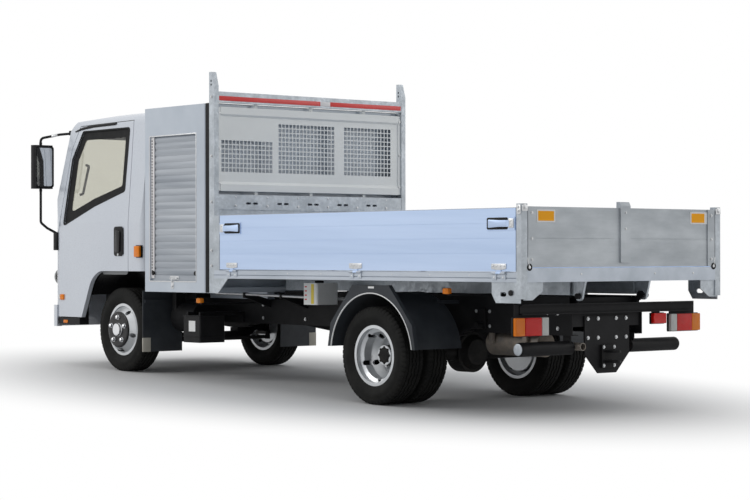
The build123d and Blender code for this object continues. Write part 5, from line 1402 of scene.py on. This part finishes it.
    def build_lining(self) -> None:
        """Line the roof and the doors inside, and put a hand grip on the pillar."""
        lining = self.mould().plate((-760, 760), (-3960, -3020), Axis.Z, 1862, 1869, 90.0)
        lining.cast("roof_lining", self.body, LINING, Slot.FABRIC, bevel=2.0)
        panel = rounded([(-3650, 560), (-3650, 1080), (-3260, 1180), (-3250, 560)], 40.0)
        rest = rounded([(-3600, 780), (-3590, 840), (-3300, 860), (-3290, 790)], 20.0)
        for side in Side:
            card = self.mould(side).prism(panel, Axis.X, 856, 863).prism(rest, Axis.X, 836, 858)
            card.cast("door_card_{side}", self.door, GREY_FACE, Slot.BLACK_PLASTIC, bevel=4.0)
        route = [(792, -4105, 1250), (762, -4105, 1256), (748, -4030, 1500), (778, -4030, 1506)]
        self.mould().tube(route, 11.0, 26.0).cast("pillar_grip", self.body, PLASTIC, Slot.BLACK_PLASTIC)

    def build_side(self, side: Side) -> None:
        """Dress one side of the cab.

        Args:
            side: The side.
        """
        self.build_windows(side)
        self.build_handle(side)
        self.build_side_lamps(side)
        self.build_mirror(side)

    def build_middle(self) -> None:
        """Dress the cab's front, rear and inside."""
        self.build_windscreen()
        self.build_rear_window()
        self.build_front()
        self.build_lining()


@dataclass
class Seats(SubAssembly):
    """Padded seats in place of the plain solids: crowned cushions and backs with sewn channels."""

    body: str = "cab"
    across: tuple[Flat, ...] = ((-660.0, -180.0), (-110.0, 328.0), (332.0, 770.0))
    rows: int = 48
    columns: int = 28
    thick: float = 100.0
    waisting: float = 0.015
    channel_depth: float = 9.0
    channel_width: float = 0.06
    flat_share: float = 0.72
    back_limit: float = -3010.0

    def rise(self, v: float, w: float, channels: int) -> float:
        """How high the pad's upper face stands.

        Args:
            v: The place along the pad, from 0 to 1.
            w: The place across it, from -1 to 1.
            channels: How many sewn channels run across it.

        Returns:
            The height.
        """
        edge_u, edge_v = 1 - abs(w) ** 8, 1 - abs(2 * v - 1) ** 10
        phase = v * (channels + 1) % 1.0
        groove = 0.0
        if 0.5 / (channels + 1) < v < 1 - 0.5 / (channels + 1):
            gap = min(phase, 1 - phase) / self.channel_width
            groove = self.channel_depth * math.exp(-(gap**2)) * edge_u
        crown = self.flat_share + (1 - self.flat_share) * (1 - w * w) * (1 - (2 * v - 1) ** 2)
        return max(self.thick * crown * (edge_u * edge_v) ** 0.35 - groove, 0.0)

    def pad(self, x: Flat, start: Flat, along: Vector, up: Vector, length: float, channels: int) -> Mould:
        """A crowned pad whose sides pull in between its corners.

        Args:
            x: Its sides.
            start: The Y and Z of its back face's first edge.
            along: The way that its length runs.
            up: The way that it bulges.
            length: Its length.
            channels: How many sewn channels run across it.

        Returns:
            The mould that holds it.
        """
        middle, half = (x[0] + x[1]) / 2, (x[1] - x[0]) / 2
        origin = Vector((0, *start))
        loops = []
        for row in range(self.rows + 1):
            v = row / self.rows
            pull = 1 - self.waisting * math.sin(math.pi * v)
            loop = []
            for column in range(2 * self.columns):
                u = column / self.columns
                w = 2 * min(u, 2 - u) - 1
                rise = self.rise(v, w, channels) if u <= 1 else 0.0
                place = origin + along * (length * v) + up * rise
                loop.append((middle + half * w * pull, place.y, place.z))
            loops.append(loop)
        return self.mould().loft(loops)

    def build(self) -> None:
        """Make the cushions and backs in place of the solid seats, and hang the belts."""
        lean = Vector((0, 0.07, 1)).normalized()
        for number, x in enumerate(self.across, 1):
            cushion = self.pad(x, (-3596, 802), Vector((0, 1, 0)), Vector((0, 0.02, 1)), 438, 2)
            back = self.pad(x, (-3012, 806), lean, Vector((0, -1, 0.05)), 664, 4)
            for point in back.points:
                point.y = min(point.y, self.back_limit)
            for part, mould in (("cushion", cushion), ("back", back)):
                piece = mould.cast(f"seat_{part}_{number}", self.body, CLOTH, Slot.FABRIC, sharp=70.0)
                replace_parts(piece, "seats")
        belts = self.mould()
        for way in (1, -1):
            strap = [(way * x, z) for x, z in ((800, 1380), (806, 1380), (826, 860), (820, 860))]
            belts.prism(strap, Axis.Y, -3080, -3034)
        belts.cast("seat_belts", self.body, SEAL, Slot.FABRIC)


@dataclass
class Locker(SubAssembly):
    """Hardware of the tool locker's roller shutters, and the frame behind the locker."""

    face: float = 990.0
    slat_face: float = 972.0
    y: Flat = (-2732.0, -2086.0)
    z: Flat = (516.0, 1684.0)
    slot_pitch: float = 24.0

    def build_guides(self, side: Side) -> None:
        """Trim a shutter's opening, and give it guides, whose slots are black plates of painted shade, and stops.

        Args:
            side: The side.
        """
        front, back, low, high = *self.y, *self.z
        opening = rectangle(self.y, self.z)
        trim = self.mould(side).border(grown(opening, 9.0), opening, Axis.X, self.face, self.face + 2.5)
        trim.cast("shutter_trim_{side}", self.body, STEEL, Slot.ALUMINIUM, bevel=0.8)
        guides = self.mould(side)
        for y in ((front, front + 44), (back - 12, back)):
            guides.box((self.slat_face - 1, self.slat_face + 7), y, (low + 20, high))
        guides.cast("shutter_guides_{side}", self.body, PALE_TAPE, Slot.ALUMINIUM, bevel=1.0)
        # Black plates stand in for the guides' slots: painted shade for their depth.
        slots = self.mould(side)
        x = (self.slat_face + 6, self.slat_face + 7.6)
        for number in range(math.ceil((high - low - 80) / self.slot_pitch)):
            foot = low + 50 + number * self.slot_pitch
            slots.plate((front + 10, front + 22), (foot, foot + 13), Axis.X, *x, 3.0, 2)
        slots.cast("shutter_guide_slots_{side}", self.body, SEAL, Slot.BLACK_PLASTIC)
        stops = self.mould(side)
        for y in (front + 30, back - 24):
            stops.lathe((self.slat_face - 2, y, low + 62), (1, 0, 0), [(0, 19), (10, 19), (15, 15), (17, 5)], 20)
        stops.cast("shutter_stops_{side}", self.body, PLASTIC, Slot.BLACK_PLASTIC, sharp=50.0)

    def build_latch(self, side: Side) -> None:
        """Give a shutter its pull, lock and lever.

        Args:
            side: The side.
        """
        middle = sum(self.y) / 2
        latch = self.mould(side).plate((middle - 62, middle + 62), (524, 556), Axis.X, 970, 975, 6.0, 3)
        pull = [(974, middle - 48, 540), (989, middle - 48, 536), (989, middle + 48, 536), (974, middle + 48, 540)]
        latch.tube(pull, 5.0, 10.0)
        latch.plate((middle - 18, middle + 18), (452, 512), Axis.X, self.face, self.face + 4, 8.0, 3)
        latch.lathe((self.face + 3, middle, 478), (1, 0, 0), [(0, 13), (7, 12), (9, 8)], 20)
        lever = [(self.face + x, middle, z) for x, z in ((3, 505), (9, 510), (5, 535))]
        latch.tube(lever, 4.0, 8.0)
        latch.cast("shutter_latch_{side}", self.body, STEEL, Slot.CHROME, bevel=0.8)

    def build_side(self, side: Side) -> None:
        """Dress one side of the locker."""
        self.build_guides(side)
        self.build_latch(side)

    def build_middle(self) -> None:
        """Cover the frame behind the locker."""
        cover = self.mould()
        for x, z in (((980, 984), (428, 1918)), ((-980, -984), (428, 1918)), ((-982, 982), (1917, 1920))):
            cover.box(x, (-1963, -1909), z)
        cover.cast("locker_rear_frame", self.body, FRAME_BLACK, Slot.CHASSIS_BLACK, bevel=1.0)


@dataclass
class Headboard(SubAssembly):
    """The red strip and the fasteners of the headboard."""

    body: str = "bed"
    bar_face: float = -1839.0
    bar_z: Flat = (1937.0, 1973.0)
    post_x: float = 992.0

    def build(self) -> None:
        """Dress the headboard."""
        face = self.bar_face
        red = self.mould()
        for x in ((-940, -178), (-74, 940)):
            red.box(x, (face, face + 2), self.bar_z)
        red.cast("headboard_red_strip", self.body, RED_TAPE, Slot.LENS, bevel=0.5)
        pale = self.mould().box((-178, -74), (face, face + 1.8), self.bar_z)
        pale.cast("headboard_pale_strip", self.body, PALE_TAPE, Slot.TANK_WHITE, bevel=0.5)
        bolts = self.mould()
        for way in (1, -1):
            for z in (1965, 1500, 1140, 760, 640):
                bolts.bolt((way * self.post_x, -1869, z), (way, 0, 0), 10.0)
            for z in (1840, 1560, 1290):
                bolts.bolt((way * 933, -1846, z), (0, 1, 0), 8.0)
        for x in (-780, -465, -155, 155, 465, 780):
            bolts.bolt((x, face, 1112), (0, 1, 0), 8.0)
            bolts.rivet((x, face, 1180), (0, 1, 0), 7.0)
        bolts.cast("headboard_bolts", self.body, STEEL, Slot.CHROME, sharp=30.0)


@dataclass
class Bed(SubAssembly):
    """Latches, hinges, plates and bolts of the dropsides, the tailgate and the floor."""

    body: str = "bed"
    dropside: str = "dropside_{side}"
    side_face: float = 992.0
    gate_face: float = 1596.0
    hinge_ys: tuple[float, ...] = (-1600.0, -100.0, 1390.0)
    latch_ends: tuple[Flat, ...] = ((-1487.0, -1.0), (1276.0, 1.0))
    catch_x: float = 918.0

    def build_latch(self, side: Side, number: int, end: float, way: float) -> None:
        """Dress one latch: its dark dish, tapered lever and keeper.

        Args:
            side: The side.
            number: Its number from the front.
            end: Where its plate ends, away from the corner post.
            way: The sign of Y towards the corner post.
        """
        face = self.side_face

        def along(*places: float) -> tuple[float, ...]:
            """The Y of places measured from the plate's end."""
            return tuple(end + way * place for place in places)

        dish = self.mould(side).plate(along(4, 206), (890, 970), Axis.X, face + 5, face + 8, 14.0, 4)
        dish.cast(f"latch_dish_{{side}}_{number}", self.dropside, PLASTIC, Slot.BLACK_PLASTIC, bevel=1.0)
        outline = rounded(list(zip(along(20, 196, 196, 20), (902, 912, 948, 958))), 8.0, 4)
        lever = self.mould(side).prism(outline, Axis.X, face + 7, face + 13.5)
        lever.cast(f"latch_lever_{{side}}_{number}", self.dropside, PLANK, Slot.ALUMINIUM, bevel=2.0)
        keeper = self.mould(side).plate(along(212, 262), (900, 962), Axis.X, face + 5, face + 11, 8.0, 4)
        for z in (914, 948):
            keeper.rivet((face + 11, *along(237), z), (1, 0, 0), 7.0)
        keeper.cast(f"latch_keeper_{{side}}_{number}", self.dropside, STEEL, Slot.CHROME, bevel=1.2)

    def build_side(self, side: Side) -> None:
        """Dress one dropside and its hinges.

        Args:
            side: The side.
        """
        for number, (end, way) in enumerate(self.latch_ends, 1):
            self.build_latch(side, number, end, way)
        face = self.side_face
        straps = self.mould(side)
        strap = ((-70, 664), (70, 664), (70, 628), (24, 622), (-24, 622), (-70, 628))
        for y in self.hinge_ys:
            outline = rounded([(y + offset, z) for offset, z in strap], 8.0, 3)
            straps.prism(outline, Axis.X, face - 1, face + 5)
            for offset in (-54, -18, 18, 54):
                straps.rivet((face + 5, y + offset, 648), (1, 0, 0), 8.0)
        straps.cast("hinge_straps_{side}", self.dropside, STEEL, Slot.GALVANISED, bevel=1.0)
        rivets = self.mould(side)
        for y in self.hinge_ys:
            for offset in (-43, 43):
                rivets.rivet((face + 4, y + offset, 572), (1, 0, 0), 7.0)
        for y in (-1300, -900, -500, 300, 700, 1100):
            rivets.rivet((face, y, 584), (1, 0, 0), 5.0)
        rivets.cast("side_rail_rivets_{side}", self.body, STEEL, Slot.CHROME)
        cap = self.mould(side).box((961.5, 992.5), (-1760, 1549), (1031, 1035))
        cap.cast("dropside_cap_{side}", self.dropside, SLAT, Slot.ALUMINIUM, bevel=1.2)

    def build_tailgate(self) -> None:
        """Dress the tailgate with its blank plates and bolts, and rivet the rail below it."""
        face = self.gate_face
        border, inset = self.mould(), self.mould()
        for outer, inner in (((672, 844), (684, 832)), ((-881, -678), (-828, -690))):
            border.plate(outer, (938, 1023), Axis.Y, face, face + 1.6, 5.0, 3)
            inset.plate(inner, (948, 1013), Axis.Y, face + 1, face + 2.4, 3.0, 3)
        border.cast("gate_plate_borders", "tailgate", WHITE_PLATE, Slot.TANK_WHITE)
        inset.cast("gate_plate_insets", "tailgate", ORANGE_PLATE, Slot.LENS)
        bolts = self.mould()
        for x in (-895, 895):
            for z in (1000, 830, 690):
                bolts.bolt((x, 1604, z), (0, 1, 0), 8.0)
        for z in (900, 1010):
            bolts.bolt((0, 1609, z), (0, 1, 0), 7.0)
        bolts.cast("tailgate_bolts", "tailgate", STEEL, Slot.CHROME)
        rivets = self.mould()
        for x in (430, -300, -700):
            rivets.rivet((x, 1604, 592), (0, 1, 0), 8.0)
        rivets.cast("rear_rail_rivets", self.body, STEEL, Slot.CHROME)

    def build_post(self, side: Side) -> None:
        """Dress a rear corner post with the tailgate's hinge plates and catch.

        Args:
            side: The side.
        """
        face, back = self.side_face, (0, 1, 0)
        outline = rounded([(938, 1010), (990, 1010), (990, 1050), (962, 1058), (938, 1044)], 6.0, 3)
        head = self.mould(side).prism(outline, Axis.Y, 1603, 1610).bolt((966, 1610, 1032), back, 9.0)
        head.plate((1562, 1600), (990, 1052), Axis.X, face - 1, face + 6, 7.0, 3)
        for z, size in ((1012, 9.0), (1038, 7.0)):
            head.bolt((face + 6, 1581, z), (1, 0, 0), size)
        head.cast("gate_hinge_plates_{side}", self.body, STEEL, Slot.GALVANISED, bevel=1.0)
        knob = self.mould(side)
        knob.lathe((self.catch_x, 1602, 640), back, [(0, 24), (4, 24), (5, 20), (3, 12)], 24)
        knob.lathe((face - 1, 1500, 470), (1, 0, 0), [(0, 20), (5, 19), (7, 12)], 24)
        knob.cast("gate_catch_{side}", self.body, PLASTIC, Slot.BLACK_PLASTIC)
        catch = self.mould(side).lathe((self.catch_x, 1603, 640), back, [(0, 11), (4, 10), (5, 6)], 20)
        catch.tube([(self.catch_x, 1604, 640), (930, 1603, 670), (934, 1602, 705)], 4.0, 10.0)
        catch.cast("gate_catch_lever_{side}", self.body, STEEL, Slot.CHROME)

    def build_floor(self) -> None:
        """Sink tie-down rings along the floor's edges."""
        rings = self.mould()
        for way in (1, -1):
            for y in (-1500, -500, 500, 1350):
                rings.lathe((way * 880, y, 605), (0, 0, 1), [(0, 34), (2.5, 34), (3, 30), (1, 24)], 24)
                bow = ((880, -20, 607), (866, -20, 612), (866, 20, 612), (880, 20, 607))
                rings.tube([(way * x, y + offset, z) for x, offset, z in bow], 4.0, 12.0)
        rings.cast("tie_down_rings", self.body, STEEL, Slot.CHROME)

    def build_middle(self) -> None:
        """Dress the tailgate, its posts and the floor."""
        self.build_tailgate()
        for side in Side:
            self.build_post(side)
        self.build_floor()


@dataclass
class Studio:
    """A plain pale floor, a white surround, soft lamps, and the camera at the photograph's place."""

    truck: Truck
    camera_place: Point = (10509.9, 11393.5, 723.0)
    yaw: float = 40.16
    pitch: float = 0.135
    roll: float = -0.078
    lens: float = 99.69
    sensor: float = 36.0
    farthest: float = 500.0
    floor_size: float = 160.0
    # floor_grey is the floor inside the oval round the truck, darker than the white beyond it: a painted shadow on top
    # of the real one. shadow_reach gives the oval's half sizes in metres, and shadow_fade the shares of it over which
    # it fades to white.
    floor_grey: float = 0.62
    shadow_reach: Flat = (3.3, 5.2)
    shadow_fade: Flat = (0.42, 1.0)
    surround: float = 0.5
    white: tuple[float, ...] = (1.0, 1.0, 1.0, 1.0)

    def build_camera(self) -> None:
        """Stand the camera where the photograph was taken from."""
        yaw, pitch, roll = (math.radians(angle) for angle in (self.yaw, self.pitch, self.roll))
        ahead = Vector((-math.sin(yaw) * math.cos(pitch), -math.cos(yaw) * math.cos(pitch), math.sin(pitch)))
        right = Vector((-math.cos(yaw), math.sin(yaw), 0))
        up = right.cross(ahead)
        rolled_right = right * math.cos(roll) + up * math.sin(roll)
        rolled_up = up * math.cos(roll) - right * math.sin(roll)
        turn = Matrix((rolled_right, rolled_up, -ahead)).transposed()
        data = bpy.data.cameras.new("camera")
        data.lens, data.sensor_width, data.clip_end = self.lens, self.sensor, self.farthest
        camera = bpy.data.objects.new("camera", data)
        place = self.truck.to_world @ Vector(self.camera_place)
        camera.matrix_world = Matrix.Translation(place) @ (self.truck.turn @ turn).to_4x4()
        bpy.context.scene.collection.objects.link(camera)
        bpy.context.scene.camera = camera

    def seen_share(self, nodes: Nodes) -> Socket:
        """One for what the camera, a mirror or a pane sees, and nought for light.

        Args:
            nodes: The node tree that it goes into.

        Returns:
            The share.
        """
        path = nodes.node("ShaderNodeLightPath")
        share = path.outputs["Is Camera Ray"]
        for name in ("Is Glossy Ray", "Is Transmission Ray"):
            share = nodes.reckon("MAXIMUM", share, path.outputs[name])
        return share

    def blend(self, nodes: Nodes, share: Socket, lit: Socket, seen: Socket, output: str) -> None:
        """Show a mix of two shaders.

        Args:
            nodes: The node tree.
            share: How much of the second shows.
            lit: The first shader.
            seen: The second shader.
            output: The output node's name.
        """
        mix = nodes.node("ShaderNodeMixShader", {0: share, 1: lit, 2: seen})
        nodes.feed(nodes.tree.nodes[output].inputs["Surface"], mix.outputs[0])

    def build_floor(self) -> None:
        """Lay a pale floor that keeps the truck's shadow, with a painted shadow of plain grey in an oval round the
        truck, and fades into the surround.
        """
        half = self.floor_size / 2
        mesh = bpy.data.meshes.new("floor")
        corners = rectangle((-half, half), (-half, half))
        mesh.from_pydata([(x, y, 0) for x, y in corners], [], [(0, 1, 2, 3)])
        floor = bpy.data.objects.new("floor", mesh)
        bpy.context.scene.collection.objects.link(floor)
        made = bpy.data.materials.new("studio_floor")
        made.use_nodes = True
        nodes = Nodes(made.node_tree)
        shader = nodes.tree.nodes["Principled BSDF"]
        nodes.feed(shader.inputs["Base Color"], (*(self.floor_grey,) * 3, 1.0))
        nodes.feed(shader.inputs["Roughness"], 0.9)
        scales = (1 / self.shadow_reach[0], 1 / self.shadow_reach[1], 1.0)
        oval = nodes.node("ShaderNodeMapping", {"Vector": nodes.coordinates(), "Scale": scales})
        reach = nodes.node("ShaderNodeVectorMath", {0: oval.outputs["Vector"]}, operation="LENGTH")
        fade = nodes.spread(
            reach.outputs["Value"], self.shadow_fade, UNIT, interpolation_type="SMOOTHSTEP"
        )
        share = nodes.reckon("MULTIPLY", self.seen_share(nodes), fade)
        glow = nodes.node("ShaderNodeEmission", {"Color": self.white})
        self.blend(nodes, share, shader.outputs[0], glow.outputs[0], "Material Output")
        mesh.materials.append(made)

    def build_surround(self) -> None:
        """Make the world white to look at and soft as a light."""
        world = bpy.data.worlds.new("surround")
        world.use_nodes = True
        nodes = Nodes(world.node_tree)
        soft = nodes.tree.nodes["Background"]
        nodes.feed(soft.inputs["Color"], (0.93, 0.96, 1.0, 1.0))
        nodes.feed(soft.inputs["Strength"], self.surround)
        white = nodes.node("ShaderNodeBackground", {"Color": self.white, "Strength": 1.0})
        self.blend(nodes, self.seen_share(nodes), soft.outputs[0], white.outputs[0], "World Output")
        bpy.context.scene.world = world

    def build_lamp(self, name: str, place: Point, aim: Point, size: Flat, power: float) -> None:
        """Hang one soft lamp.

        Args:
            name: The lamp's name.
            place: Where it hangs, in metres.
            aim: The point that it faces.
            size: Its width and height.
            power: Its power in watts.
        """
        data = bpy.data.lights.new(name, "AREA")
        data.shape = "RECTANGLE"
        data.size, data.size_y = size
        data.energy = power
        data.color = (1.0, 0.99, 0.97)
        lamp = bpy.data.objects.new(name, data)
        lamp.location = place
        lamp.rotation_euler = (Vector(aim) - Vector(place)).to_track_quat("-Z", "Y").to_euler()
        bpy.context.scene.collection.objects.link(lamp)

    def build(self) -> None:
        """Set up the whole studio."""
        bpy.context.scene.view_settings.view_transform = "Standard"
        self.build_camera()
        self.build_floor()
        self.build_surround()
        self.build_lamp("key", (9.0, -4.5, 6.0), (0.0, -0.5, 1.0), (6.0, 5.0), 330.0)
        self.build_lamp("fill", (-7.0, 6.0, 5.0), (0.0, 0.0, 1.0), (6.0, 5.0), 120.0)
        self.build_lamp("top", (0.0, 0.0, 8.5), (0.0, 0.0, 0.0), (7.0, 9.0), 190.0)


def main() -> None:
    """Build the truck's dress and its studio, in order."""
    truck = Truck(frame)
    dress_nodes(truck)
    for part in (Tyres, Wheels, Underframe, Lamps, Cab, Seats, Locker, Headboard, Bed, Studio):
        part(truck).build()
        log.info("%s done", part.__name__)


if __name__ == "__main__":
    main()
